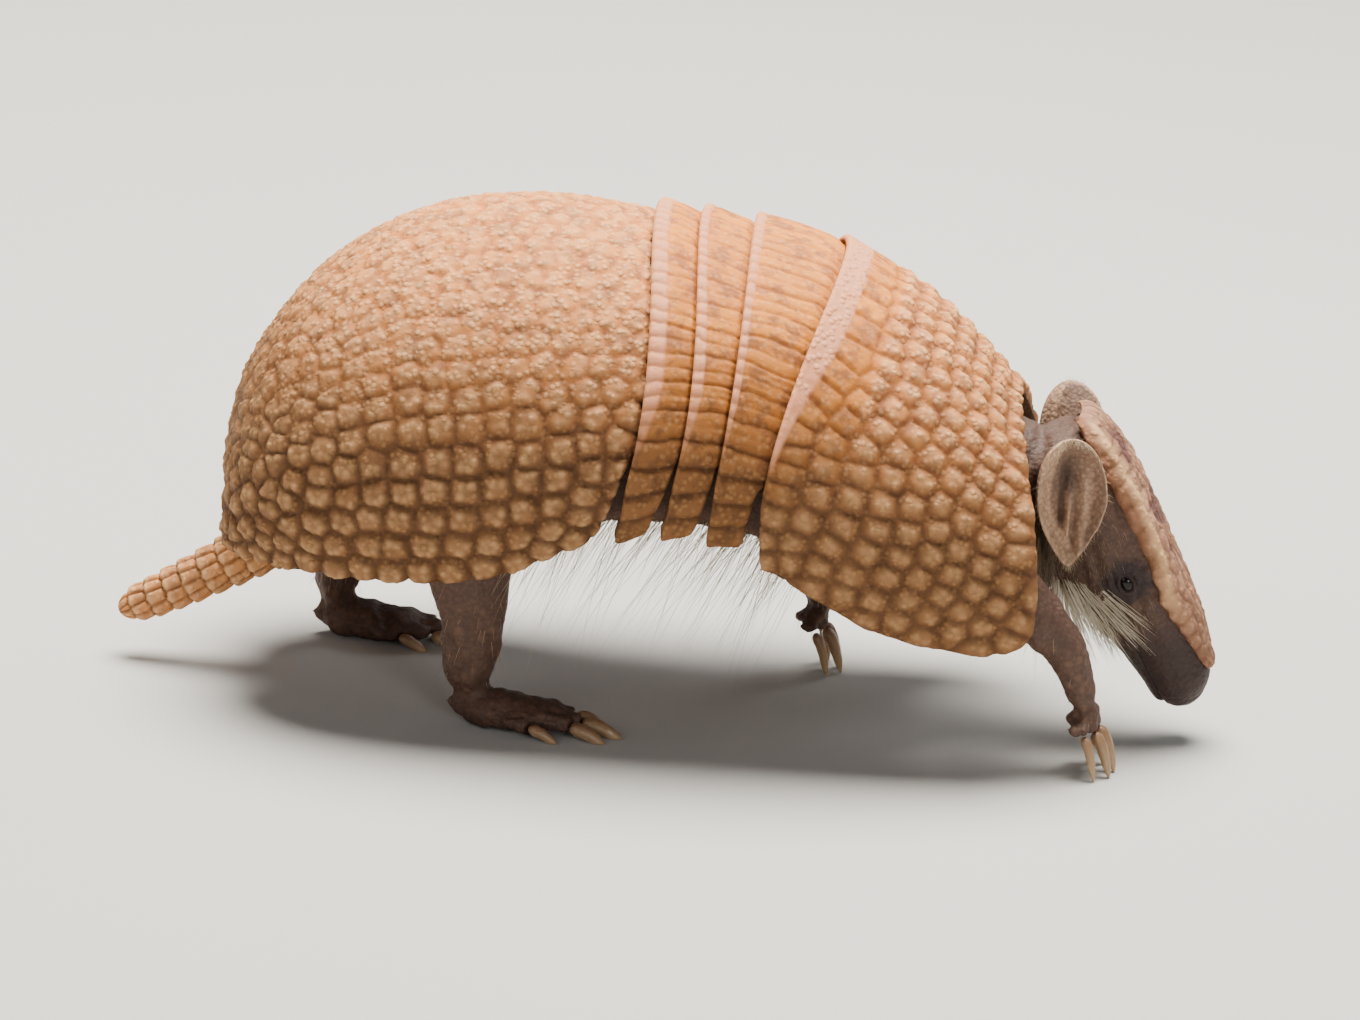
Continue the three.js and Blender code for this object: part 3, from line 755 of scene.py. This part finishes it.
def skin():
    """One skin over the trunk, neck, head and legs, a little inside the solids, with folds and lids."""
    piece = copy_of(*FLESH)
    rename(piece, "skin")
    apply_modifier(piece, "SUBSURF", levels=2, render_levels=2)
    move_points(piece, points_of(piece) + 0.3 * normals_of(piece))
    fill_sockets(piece)
    apply_modifier(piece, "REMESH", mode="VOXEL", voxel_size=VOXEL * MM)
    apply_modifier(piece, "SMOOTH", factor=0.5, iterations=7)
    local = to_head(points_of(piece))
    refine(piece, (local[:, 0] > 26) & (np.abs(local[:, 1]) < 20) & (local[:, 2] < 8) & (local[:, 2] > -30))
    local = to_head(points_of(piece))
    refine(piece, (from_eye(local) < 4.5) & (np.abs(local[:, 1]) > 9) & (np.abs(local[:, 1]) < 18))
    points, normals = points_of(piece), normals_of(piece)
    points -= 0.55 * normals
    local = to_head(points)
    on_head = smoothstep(local[:, 0], -4, 6) * (np.abs(points[:, 1]) < 22) * (points[:, 0] > 60)
    under_shell = smoothstep(points[:, 2], 52, 60) * (points[:, 0] < 50)
    # Loose folds on the neck and throat, round the legs and along the belly.
    folds = np.sin(noise_at(points * [1, 0.4, 0.4], 5.5, 11) * 5 + points[:, 0] * 0.9 + points[:, 2] * 0.35)
    wrinkle = noise_at(points, 3.2, 12)
    scales = np.abs(noise_at(points, 2.1, 13))
    crease = 0.26 * folds + 0.3 * (np.abs(wrinkle) - 0.3)
    crease += 0.35 * (0.25 - scales) * smoothstep(-points[:, 2], -34, -24)
    muzzle = smoothstep(local[:, 0], 42, 54) * on_head
    eye_gap = from_eye(local)
    calm = (1 - 0.8 * muzzle) * (1 - under_shell) * blend(1, smoothstep(eye_gap, 2.5, 6), on_head)
    points += normals * (crease * calm)[:, None]
    local = to_head(points)
    for side in SIDES.values():
        local = lids(local, side)
    # Wrinkles fan out round the eye; then the mouth's line, the nose pad and the nostrils.
    along, out, height = local.T
    turn = np.arctan2(height - EYE[2], along - EYE[0])
    fan = hill(eye_gap, 5.6, 2.0) * np.sin(turn * 11 + noise_at(local, 3, 15) * 2.2) * on_head
    mouth_height = -12.6 + 0.02 * (along - 40) + 0.8 * hill(along, 44, 6)
    mouth = hill(height, mouth_height, 0.42) * smoothstep(along, 39, 43) * on_head
    nostril = hill(np.hypot(along - 69.4, (np.abs(out) - 2.2) * 1.3, height + 7.2), 0, 1.25)
    pad = smoothstep(along, 65.5, 67) * smoothstep(height, -13, -10)
    centre_line = np.stack([np.minimum(along, 64), 0 * out, -8 + 0 * out], -1)
    inward = local - centre_line
    inward /= np.maximum(np.linalg.norm(inward, axis=1), 1e-6)[:, None]
    depth = 0.7 * mouth + 1.6 * nostril * on_head - 0.25 * pad * on_head + 0.16 * fan
    local -= inward * depth[:, None]
    move_points(piece, np.where(on_head[:, None] > 0, from_head(local), points))
    along, out, height = to_head(points_of(piece)).T
    patch_edge = np.hypot((along - 35.4) / 4.6, (height + 7.4) / 5.3) + 0.3 * noise_at(local, 3, 16)
    patch = smoothstep(patch_edge, 1.3, 0.75) * on_head
    # The eye patch and the muzzle are the skin's own dark colour; the mouth's line and the nostrils are
    # darkened as painted shade.
    dark = np.maximum.reduce([0.95 * patch, 0.8 * muzzle, mouth, nostril * on_head])
    pale = smoothstep(points[:, 2], 34, 42) * smoothstep(-points[:, 2], -50, -44) * (points[:, 0] < 60)
    feet = smoothstep(-points[:, 2], -32, -22) * (1 - on_head)
    mark(piece, dark=np.clip(dark, 0, 1), pale=pale, rim=0 * dark, feet=feet)
    apply_modifier(piece, "DECIMATE", ratio=0.6)
    piece = join_ears(piece)
    deselect()
    piece.data.shade_smooth()
    finish_piece(piece, hide, FLESH + ["ear_right", "ear_left"])
    return piece


def ear(side):
    """A leaf-shaped ear: a cup with a thick pale rim behind, folds inside and a pointed lower end."""
    piece = add_ball(128, 96)
    x, y, z = (points_of(piece) * MM).T
    open_side = y * side > 0
    reach = np.clip(np.sqrt(x * x + z * z), 0, 1)
    low = np.clip(-z, 0, 1)
    narrow = 1 + 0.1 * z - 0.42 * low**1.8
    wall = np.sign(y) * np.sqrt(np.abs(y)) * 0.75
    behind = smoothstep(-x - 0.25 * z, -0.25, 0.35)
    rim = smoothstep(reach, 0.95 - 0.48 * behind, 1.0 - 0.32 * behind)
    curl = (0.45 + 0.5 * behind) * hill(reach, 0.9, 0.13)
    ridge = 1.5 * hill(x, 0.02 + 0.22 * z, 0.1) * smoothstep(-z, -0.2, 0.25) * smoothstep(z, -0.9, -0.5)
    fold = 1.1 * hill(x, 0.42 + 0.1 * z, 0.17) * smoothstep(-z, -0.75, 0.0)
    crease = 0.9 * hill(x, -0.16 + 0.25 * z, 0.09) * smoothstep(z, -0.85, -0.3) * smoothstep(-z, -0.8, -0.3)
    folds = (ridge + fold) * (1 - rim)
    ripple = 0.16 * np.sin(z * 17 + 3 * x) * smoothstep(reach, 0.3, 0.8)
    lift = np.where(open_side, side * (folds + curl + ripple - crease * (1 - rim)), -side * 0.4 * curl)
    points = np.stack([(x * narrow - 0.08 - 0.2 * low**1.6) * EAR["width"] / 2,
                       wall - side * EAR["cup"] * (1 - reach**2) + lift, z * EAR["length"] / 2], -1)
    pose = (Matrix.Rotation(math.radians(EAR["turn"]) * side, 3, "Z")
            @ Matrix.Rotation(math.radians(-EAR["lean"]) * side, 3, "X")
            @ Matrix.Rotation(math.radians(-EAR["rake"]), 3, "Y"))
    at = np.array(EAR["at"]) * [1, side, 1] + SHIFT
    points = points @ np.array(pose).T + at
    points += 0.15 * noise_at(points, 2.5, 14)[:, None] * np.array([0, 1.0, 0])
    move_points(piece, points)
    # The cup's deep middle and the crease inside are darkened as painted shade; the folds are lightened as a
    # painted highlight on top of the pale rim.
    bowl = hill(np.hypot(x + 0.02, 0.8 * (z - 0.3)), 0, 0.4)
    hollow_shade = open_side * (1 - rim) * np.maximum(crease / 0.9, bowl)
    light = np.where(open_side, rim + 0.5 * np.clip(folds, 0, 1) + 0.42, 0.5 * rim + 0.2)
    mark(piece, dark=0.75 * np.clip(hollow_shade - 0.5 * ridge, 0, 1), pale=0 * reach, feet=0 * reach,
         rim=np.clip(light, 0, 1))
    return piece


def join_ears(body):
    ears = [ear(side) for side in SIDES.values()]
    choose(body, *ears)
    bpy.ops.object.join()
    return bpy.context.view_layer.objects.active


# ---------------------------------------------------------------- eyes and claws

def eyeball(name):
    low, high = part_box("eye_" + name)
    centre = (np.array(low) + np.array(high)) / 2
    piece = add_ball(48, 32, EYE_RADIUS * MM, centre)
    bpy.ops.object.transform_apply(location=True, rotation=True, scale=True)
    rename(piece, "eyeball_" + name)
    piece.data.shade_smooth()
    finish_piece(piece, wet_black, ["eye_" + name])


def claw(node):
    """A claw: the solid's own shape, rounded and finely grained, with its tip on the floor."""
    piece = copy_of(node)
    rename(piece, node.replace("claw", "horn_claw"))
    apply_modifier(piece, "SUBSURF", levels=3, render_levels=3)
    points, normals = points_of(piece), normals_of(piece)
    low = points[:, 2].min()
    reach = (points[:, 2] - low) / np.ptp(points[:, 2])
    grain = noise_at(points * [0.5, 1.6, 0.5], 0.7, 21)
    points += normals * (0.07 * grain * (points[:, 2] > 0.4))[:, None]
    points[:, 2] = np.maximum(points[:, 2] - low * (points[:, 2] < 0.6), 0)
    move_points(piece, points)
    mark(piece, root=reach)
    finish_piece(piece, claw_horn, [node])


# ---------------------------------------------------------------- hair

HAIR_REACH = 49  # hair hangs down inside the shell's widest line
LEG_TOPS = [65, 41, -43, -58]  # where the legs leave the belly
PATCH = 0.003  # how wide each hair's patch is on the OFBake map


def root_patch(roots, region):
    """Where each hair's patch lies on an unwrap of the skin: each region of the body has its own tile."""
    tile = np.array([region % 3, region // 3]) / 3
    turn = np.arctan2(roots[:, 1], roots[:, 2] - 45) / (2 * math.pi) + 0.5
    long = (roots[:, 0] + 115) / 230
    return tile + 0.02 + 0.28 * np.stack([np.clip(long, 0, 1), turn], -1)


def hairs(name, region, roots, heading, length, droop, radius, tufts, shades):
    """Hairs as thin three-sided horns, bending towards the ground; in tufts, their tips draw together."""
    count, rings = len(roots), 7
    share = np.linspace(0, 1, rings)
    draw = np.zeros((count, 3))
    if tufts:
        middles = roots[random.choice(count, tufts, replace=False)]
        tuft, _ = nearest_scutes(roots, middles)
        draw = 0.75 * (middles[tuft] - roots)
        heading = heading + random.normal(0, 0.08, (tufts, 3))[tuft]
    heading = unit(heading)
    wander = unit(random.normal(0, 1, (count, 3)))
    step = share[None, :, None]
    line = (roots[:, None] + heading[:, None] * step * length[:, None, None]
            + np.array([0, 0, -1.0]) * (droop * length)[:, None, None] * step**2
            + wander[:, None] * (0.1 * length)[:, None, None] * step**2 + draw[:, None] * step)
    line[..., 1] = np.clip(line[..., 1], -HAIR_REACH, HAIR_REACH)
    tangent = unit(np.gradient(line, axis=1))
    first = unit(np.cross(tangent, [0.31, 0.17, 0.93]))
    second = np.cross(tangent, first)
    thick = radius * (1 - 0.93 * share[None, :] ** 1.4)
    corners = []
    for k in range(3):
        angle = 2 * math.pi * k / 3
        corners.append(line + (first * math.cos(angle) + second * math.sin(angle)) * thick[:, :, None])
    points = np.stack(corners, 2)
    index = np.arange(count * rings * 3).reshape(count, rings, 3)
    sides = [np.stack([index[:, :-1, k], index[:, :-1, (k + 1) % 3], index[:, 1:, (k + 1) % 3],
                       index[:, 1:, k]], -1).reshape(-1, 4) for k in range(3)]
    caps = [index[:, 0, ::-1].reshape(-1, 3), index[:, -1].reshape(-1, 3)]
    faces = sum((part.tolist() for part in sides + caps), [])
    piece = make_mesh(name, points.reshape(-1, 3), faces)
    patch = root_patch(roots, region)
    across, down = np.meshgrid([0, 0.5, 1], share)
    uv = (patch[:, None, None] + PATCH * np.stack([across, down], -1)[None]).reshape(-1, 2)
    layer = piece.data.uv_layers.new(name="OFBake")
    corner = np.empty(len(piece.data.loops), dtype=np.int32)
    piece.data.loops.foreach_get("vertex_index", corner)
    layer.data.foreach_set("uv", uv[corner].ravel())
    shade = random.uniform(*shades, count)
    mark(piece, shade=np.repeat(shade, rings * 3), tip=np.tile(np.repeat(share, 3), count))
    finish_piece(piece, hair_white, [])


def pick(mask, count):
    """Random places among the skin's points where the mask holds."""
    inside = np.flatnonzero(mask)
    return random.choice(inside, min(count, len(inside)), replace=False)


def coat(body):
    """Sparse bristles: long on the cheeks, throat and flanks, short on the legs."""
    points, normals = points_of(body), normals_of(body)
    x, y, z = points.T
    local = to_head(points)
    along, out, height = local.T
    rims = np.empty(len(points))
    body.data.attributes["rim"].data.foreach_get("value", rims)
    on_head = (x > 52) & (np.abs(out) < 20) & (along > -8) & (along < 60)

    def grow(name, region, at, heading, length, droop, radius, tufts, shades, depth=0.4):
        hairs(name, region, points[at] - depth * normals[at], heading, length, droop, radius, tufts, shades)

    def spread(at, lean, off, scatter):
        """Headings that lean one way and stand off the skin by a share, each scattered a little."""
        return np.array(lean) + off * normals[at] + random.normal(0, scatter, (len(at), 3))

    # Stiff whiskers fan from the cheek behind the eye: forwards above, straight down below.
    at = pick(on_head & (along > 29) & (along < 37) & (height < -14.5) & (normals[:, 0] < 0.7), 460)
    lean = np.radians(blend(0, 58, smoothstep(height[at] + 0.4 * (along[at] - 32), -24.5, -15.5)))
    heading = np.stack([np.sin(lean), 0.25 * out[at] / 12, -np.cos(lean)], -1)
    heading = heading + random.normal(0, 0.05, (len(at), 3))
    length = random.uniform(11, 18, len(at))
    grow("whiskers", 0, at, heading, length, 0.03, 0.1, 34, (0.6, 1))

    # More lie along the jaw in front of them, and softer ones hang from the throat behind.
    at = pick(on_head & (height < -14.5) & (along >= 37) & (along < 45), 110)
    heading = spread(at, [0.66, 0, -0.72], 0.15, 0.06)
    length = random.uniform(8, 14, len(at)) * blend(1, 0.7, smoothstep(along[at], 38, 45))
    grow("jaw_bristles", 1, at, heading, length, 0.03, 0.08, 14, (0.4, 1))
    at = pick(on_head & (height < -21) & (x > 74) & (along <= 29), 110)
    heading = spread(at, [0.05, 0, -1.0], 0.15, 0.08)
    grow("chin_bristles", 1, at, heading, random.uniform(15, 23, len(at)), 0.03, 0.08, 16, (0.2, 1))

    # Dark fur fills the shaded hollow between the cheek and the shell: painted shade, as a dense coat of dark
    # hair.
    neck = (rims < 0.1) & (x > 68) & (x < 96) & (z < 56) & (z > 36)
    neck &= (along < 27) & (height < -9 - 0.4 * along)
    at = pick(neck & (normals[:, 2] < 0.3) & (np.abs(y) < 20), 1500)
    heading = spread(at, [0.12, 0, -1.0], 0.2, 0.1)
    length = random.uniform(7, 12, len(at)) * blend(0.5, 1, smoothstep(z[at], 54, 46))
    grow("neck_shade_fur", 5, at, heading, length, 0, 0.09, 50, (-1, -0.5))

    # Short fur roughens the cheeks and the skin round the ears, and fringes the ears.
    furry = on_head & (rims < 0.1) & (along < 46) & (height < -3.5) & (from_eye(local) > 5)
    at = pick(furry & (np.abs(out) > 6), 1700)
    heading = spread(at, [0.45, 0, -0.85], 0.3, 0.12)
    grow("face_fur", 6, at, heading, random.uniform(1.2, 2.8, len(at)), 0.05, 0.05, 0, (-1, -0.1), 0.3)
    at = pick(rims > 0.75, 900)
    heading = spread(at, [0, 0, -0.7], 1, 0.25)
    grow("ear_fringe", 7, at, heading, random.uniform(0.8, 2.0, len(at)), 0.05, 0.045, 0, (-0.5, 0.5), 0.2)

    at = pick((x > 46) & (x < 72) & (z < 46) & (z > 33) & (np.abs(y) < 26), 200)
    heading = spread(at, [0.1, 0, -0.97], 0.2, 0.12)
    grow("throat_bristles", 2, at, heading, random.uniform(8, 18, len(at)), 0.1, 0.075, 20, (-0.4, 0.8))

    clear = np.min([np.hypot(x - top, np.abs(y) - 29.5) for top in LEG_TOPS], axis=0) > 12
    flank = (np.abs(y) > 27) & (np.abs(y) < 45) & (z < 50) & (z > 35)
    at = pick(flank & clear & (normals[:, 2] < 0.1) & (x < 54) & (x > -26), 520)
    heading = np.array([-0.5, 0, -0.85]) + random.normal(0, 0.14, (len(at), 3))
    heading[:, 1] = 0.12 * np.sign(y)[at] + random.normal(0, 0.06, len(at))
    length = 10 + 20 * random.uniform(0, 1, len(at)) ** 1.5
    length = np.minimum(length, 0.95 * z[at] - 5)
    grow("flank_hair", 3, at, heading, length, 0.14, 0.075, 60, (-0.9, 0.6))

    belly = (np.abs(y) <= 30) & (z < 44) & (normals[:, 2] < -0.5) & (x < 60)
    at = pick(belly & clear & (z > 33) & (x > -30), 260)
    heading = spread(at, [-0.6, 0, -0.6], 0.2, 0.2)
    grow("belly_hair", 4, at, heading, random.uniform(8, 19, len(at)), 0.15, 0.06, 40, (-0.5, 0.6))

    at = pick((z < 34) & (z > 8) & (np.abs(y) > 14) & (x < 88), 420)
    heading = spread(at, [-0.1, 0, -0.95], 0.35, 0.12)
    grow("leg_hair", 8, at, heading, random.uniform(1.5, 4, len(at)), 0.1, 0.04, 0, (-0.8, 0.4), 0.3)


# ---------------------------------------------------------------- materials

class Value:
    """A socket in a material; arithmetic on it adds Math nodes."""

    def __init__(self, paint, socket):
        self.paint, self.socket = paint, socket

    def math(self, operation, *others):
        values = {i: value for i, value in enumerate(others)}
        return self.paint.node("ShaderNodeMath", {"operation": operation}, values)

    def __add__(self, other):
        return self.math("ADD", self, other)

    def __sub__(self, other):
        return self.math("SUBTRACT", self, other)

    def __rsub__(self, other):
        return self.math("SUBTRACT", other, self)

    def __mul__(self, other):
        return self.math("MULTIPLY", self, other)

    __radd__, __rmul__ = __add__, __mul__


class Paint:
    """One material and the nodes that feed its shader."""

    def __init__(self, name, **constants):
        self.material = bpy.data.materials.new(name)
        self.material.use_nodes = True
        self.tree = self.material.node_tree
        self.shader = self.tree.nodes["Principled BSDF"]
        for socket, value in constants.items():
            self.shader.inputs[socket.replace("_", " ")].default_value = value
        self.place = self.node("ShaderNodeTexCoord", {}, {}, "Object")

    def node(self, kind, settings, values, output=0):
        made = self.tree.nodes.new(kind)
        for name, value in settings.items():
            setattr(made, name, value)
        for name, value in values.items():
            if isinstance(value, Value):
                self.tree.links.new(value.socket, made.inputs[name])
            else:
                made.inputs[name].default_value = value
        return Value(self, made.outputs[output])

    def field(self, name):
        return self.node("ShaderNodeAttribute", {"attribute_name": name}, {}, "Fac")

    def noise(self, size, detail=3.0, rough=0.55):
        values = {"Vector": self.place, "Scale": 1 / (size * MM), "Detail": detail, "Roughness": rough}
        return self.node("ShaderNodeTexNoise", {}, values, "Fac")

    def cells(self, size):
        values = {"Vector": self.place, "Scale": 1 / (size * MM)}
        return self.node("ShaderNodeTexVoronoi", {"feature": "F1"}, values, "Distance")

    def step(self, value, low, high):
        values = {"Value": value, "From Min": low, "From Max": high}
        return self.node("ShaderNodeMapRange", {"interpolation_type": "SMOOTHSTEP"}, values)

    def mix(self, share, a, b):
        values = {0: share, 6: a, 7: b}
        return self.node("ShaderNodeMix", {"data_type": "RGBA"}, values, 2)

    def finish(self, color, rough, bump, depth):
        tree = self.tree
        tree.links.new(color.socket, self.shader.inputs["Base Color"])
        tree.links.new(rough.socket, self.shader.inputs["Roughness"])
        relief = self.node("ShaderNodeBump", {}, {"Height": bump, "Strength": 1.0, "Distance": depth * MM})
        tree.links.new(relief.socket, self.shader.inputs["Normal"])
        return self.material


def rgb(red, green, blue):
    """A colour given as it looks on a screen, 0 to 255."""
    shares = [((c / 255 + 0.055) / 1.055) ** 2.4 if c > 10 else c / 3294 for c in (red, green, blue)]
    return (*shares, 1.0)


def horn_material():
    """Dry horn on the shell: tan scutes with dark grooves and pale pink margins; painted highlights on the
    knobs and granules, and painted light that brightens the top of the back.
    """
    paint = Paint("horn", Specular_IOR_Level=0.1)
    top, tint, pale = paint.field("top"), paint.field("tint"), paint.field("pale")
    margin, band_share, high = paint.field("margin"), paint.field("band"), paint.field("high")

    def graded(low, top_color):
        """A colour that changes from low on the shell to the top of the back: partly the horn's own tone,
        partly painted light on top and painted shade low down.
        """
        return paint.mix(high, rgb(*low), rgb(*top_color))

    base = graded((122, 85, 55), (224, 140, 72))
    base = paint.mix(band_share * 0.85, base, graded((122, 80, 42), (228, 140, 48)))
    base = paint.mix(paint.step(tint, 0.3, 1.0) * 0.3, base, graded((98, 62, 34), (176, 108, 66)))
    blotch = paint.noise(4, 4.0, 0.6)
    base = paint.mix(paint.step(blotch, 0.45, 0.62) * 0.85, base, graded((94, 64, 40), (158, 98, 62)))
    speck = paint.step(paint.cells(1.5), 0.55, 0.12)
    # The tops of the granules are lightened as painted highlights, less on top of the back and on the bands.
    granule_highlight = speck * (0.6 - 0.2 * high) * (1 - 0.6 * band_share)
    base = paint.mix(granule_highlight, base, graded((156, 114, 72), (246, 196, 148)))
    # The pale field lays a painted highlight on the knobs and scute crowns.
    base = paint.mix(pale * 0.65, base, graded((196, 152, 106), (244, 190, 136)))
    # Grooves are dark joints, darker low on the shell by the same painted shade.
    groove = paint.mix(high, rgb(70, 46, 32), paint.mix(band_share, rgb(116, 68, 40), rgb(160, 92, 44)))
    color = paint.mix(paint.step(top, -0.45, 0.9), groove, base)
    color = paint.mix(margin * 0.85, color, paint.mix(blotch, rgb(212, 130, 96), rgb(238, 176, 138)))
    fine = paint.noise(0.7, 4.0, 0.65)
    bump = 0.6 * paint.noise(0.45, 4.0, 0.7) + speck * (1.0 - 0.75 * band_share)
    return paint.finish(color, 0.5 + 0.25 * fine, bump, 0.25)


def brow_material():
    """The head shield: a pale yellowish ridge along each edge, tan between, with dark worn patches."""
    paint = Paint("brow_horn", Specular_IOR_Level=0.12)
    top, tint, margin, outside = (paint.field(key) for key in ("top", "tint", "margin", "outside"))
    pits, low_end = paint.field("pits"), paint.field("low_end")
    base = paint.mix(tint, rgb(140, 102, 80), rgb(168, 126, 102))
    speck = paint.step(paint.cells(1.3), 0.55, 0.12)
    # The tops of the granules are lightened as painted highlights.
    base = paint.mix(speck * 0.35, base, rgb(214, 162, 124))
    base = paint.mix(paint.step(paint.noise(4.5, 4.0, 0.6), 0.5, 0.66) * 0.5, base, rgb(124, 86, 68))
    base = paint.mix(low_end * 0.6, base, rgb(118, 84, 60))
    base = paint.mix(paint.step(top, 0.0, 0.9) * 0.5 + 0.5, rgb(96, 62, 46), base)
    base = paint.mix(pits * 0.8, base, rgb(84, 56, 54))
    base = paint.mix(outside * 0.6, base, rgb(112, 72, 46))
    ridge = paint.mix(paint.noise(3.0), rgb(200, 150, 100), rgb(230, 190, 138))
    color = paint.mix(margin * 0.85, base, ridge)
    bump = 0.7 * paint.noise(0.5, 4.0, 0.7) + speck * 0.8
    fine = paint.noise(0.8, 4.0, 0.65)
    return paint.finish(color, 0.48 + 0.25 * fine, bump, 0.22)


def hide_material():
    """Bare skin: dark brown, darkest round the eyes and on the snout, paler on the ears and belly; painted
    shade darkens the mouth's line, the nostrils and the ears' hollows, and painted highlights lighten the
    ears' folds.
    """
    paint = Paint("hide", Specular_IOR_Level=0.3)
    dark, pale, rim, feet = paint.field("dark"), paint.field("pale"), paint.field("rim"), paint.field("feet")
    mottle = paint.noise(4, 4.0, 0.6)
    base = paint.mix(mottle, rgb(64, 46, 38), rgb(100, 74, 60))
    base = paint.mix(pale * 0.5, base, rgb(132, 98, 82))
    # rim: the ears' own pale rims, with painted highlights on their folds.
    base = paint.mix(rim, base, paint.mix(mottle, rgb(172, 130, 100), rgb(220, 184, 154)))
    pebbles = paint.cells(0.95)
    base = paint.mix(paint.step(pebbles, 0.2, 0.75) * 0.35, base, rgb(52, 34, 30))
    plates = paint.cells(2.6)
    base = paint.mix(paint.step(plates, 0.5, 0.1) * feet * 0.4, base, rgb(118, 88, 68))
    # dark: the skin's own dark patches, with painted shade in the mouth's line, the nostrils and the ears'
    # hollows.
    color = paint.mix(dark, base, rgb(42, 30, 30))
    wrinkles = paint.noise(1.6, 5.0, 0.6)
    bump = (1 - pebbles) * 0.6 + 0.9 * wrinkles + (1 - plates) * feet
    return paint.finish(color, 0.52 + 0.2 * mottle, bump, 0.3)


def claw_material():
    paint = Paint("claw_horn", Specular_IOR_Level=0.5, Coat_Weight=0.15)
    root = paint.field("root")
    base = paint.mix(root, rgb(190, 158, 116), rgb(128, 92, 62))
    color = paint.mix(paint.noise(1.2, 4.0, 0.6) * 0.4, base, rgb(104, 80, 60))
    return paint.finish(color, 0.32 + 0.2 * paint.noise(0.8), paint.noise(0.5, 4.0, 0.6), 0.08)


def eye_material():
    paint = Paint("wet_black", Specular_IOR_Level=0.22)
    color = paint.mix(paint.noise(2.0), rgb(12, 9, 8), rgb(24, 17, 14))
    return paint.finish(color, 0.06 + 0.05 * paint.noise(1.0), paint.noise(0.6), 0.004)


def hair_material():
    """Stiff hair, whitish with a warm root."""
    paint = Paint("hair_white", Specular_IOR_Level=0.4)
    shade, tip = paint.field("shade"), paint.field("tip")
    base = paint.mix(shade, rgb(176, 156, 118), rgb(240, 230, 208))
    base = paint.mix(paint.step(shade, -1, 0), rgb(84, 64, 52), base)
    color = paint.mix(paint.step(tip, 0.3, 0.0) * 0.5, base, rgb(150, 122, 92))
    return paint.finish(color, 0.42 + 0.1 * shade, paint.noise(0.6), 0.02)


def floor_material():
    paint = Paint("pale_floor", Specular_IOR_Level=0.2)
    color = paint.mix(paint.noise(300), rgb(186, 184, 180), rgb(192, 190, 186))
    return paint.finish(color, 0.85 + 0.05 * paint.noise(60), paint.noise(2.0), 0.01)


# ---------------------------------------------------------------- studio

VIEW = {"azimuth": 2.2, "elevation": 17, "roll": 3.8, "target": [0.85, 0.3, 40.3], "width": 278.8,
        "distance": 1500, "sensor": 36}


def add_camera():
    turn, lift, roll = (math.radians(VIEW[key]) for key in ("azimuth", "elevation", "roll"))
    towards = Vector((math.sin(turn) * math.cos(lift), -math.cos(turn) * math.cos(lift), math.sin(lift)))
    right = Vector((math.cos(turn), math.sin(turn), 0))
    up = towards.cross(right)
    rolled_right = right * math.cos(roll) + up * math.sin(roll)
    rolled_up = up * math.cos(roll) - right * math.sin(roll)
    camera = bpy.data.objects.new("camera", bpy.data.cameras.new("camera"))
    camera.data.sensor_width = VIEW["sensor"]
    camera.data.lens = VIEW["sensor"] * VIEW["distance"] / VIEW["width"]
    camera.data.clip_start = 0.05
    place = Vector(VIEW["target"]) * MM + towards * VIEW["distance"] * MM
    axes = Matrix((rolled_right, rolled_up, towards)).transposed().to_4x4()
    camera.matrix_world = Matrix.Translation(place) @ axes
    bpy.context.collection.objects.link(camera)
    bpy.context.scene.camera = camera


def add_light(name, place, size, power, color):
    light = bpy.data.lights.new(name, "AREA")
    light.shape = "DISK"
    light.size = size
    light.energy = power
    light.color = color
    lamp = bpy.data.objects.new(name, light)
    lamp.location = place
    lamp.rotation_euler = (Vector((0, 0, 0.05)) - lamp.location).to_track_quat("-Z", "Y").to_euler()
    bpy.context.collection.objects.link(lamp)


def add_studio():
    deselect()
    bpy.ops.mesh.primitive_plane_add(size=12)
    floor = bpy.context.view_layer.objects.active
    floor.name = "floor"
    floor.data.materials.append(floor_material())
    add_light("overhead", (0.0, 0.24, 1.27), 1.0, 78, (1.0, 0.96, 0.89))
    add_light("front_left", (-0.9, -1.2, 0.8), 0.9, 4.5, (1.0, 0.98, 0.95))
    add_light("catch", (0.55, -1.3, 0.42), 0.4, 4.5, (1.0, 1.0, 1.0))
    add_light("back_right", (0.9, 1.1, 0.9), 0.8, 6, (0.95, 0.98, 1.0))
    world = bpy.data.worlds.new("studio")
    world.use_nodes = True
    world.node_tree.nodes["Background"].inputs["Color"].default_value = (0.92, 0.94, 0.97, 1)
    world.node_tree.nodes["Background"].inputs["Strength"].default_value = 0.13
    bpy.context.scene.world = world


# ---------------------------------------------------------------- the animal

deselect()
horn = horn_material()
brow_horn = brow_material()
hide = hide_material()
claw_horn = claw_material()
wet_black = eye_material()
hair_white = hair_material()

add_camera()
add_studio()
shoulder_shield()
for i, place in enumerate(("front", "middle", "rear")):
    band("band_plate_" + place, "band_" + place, SHOULDER_REAR + i)
hip_shield()
head_shield()
tail_scutes()
coat(skin())
for name in SIDES:
    eyeball(name)
for node in sorted(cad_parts):
    if node.startswith("claw"):
        claw(node)
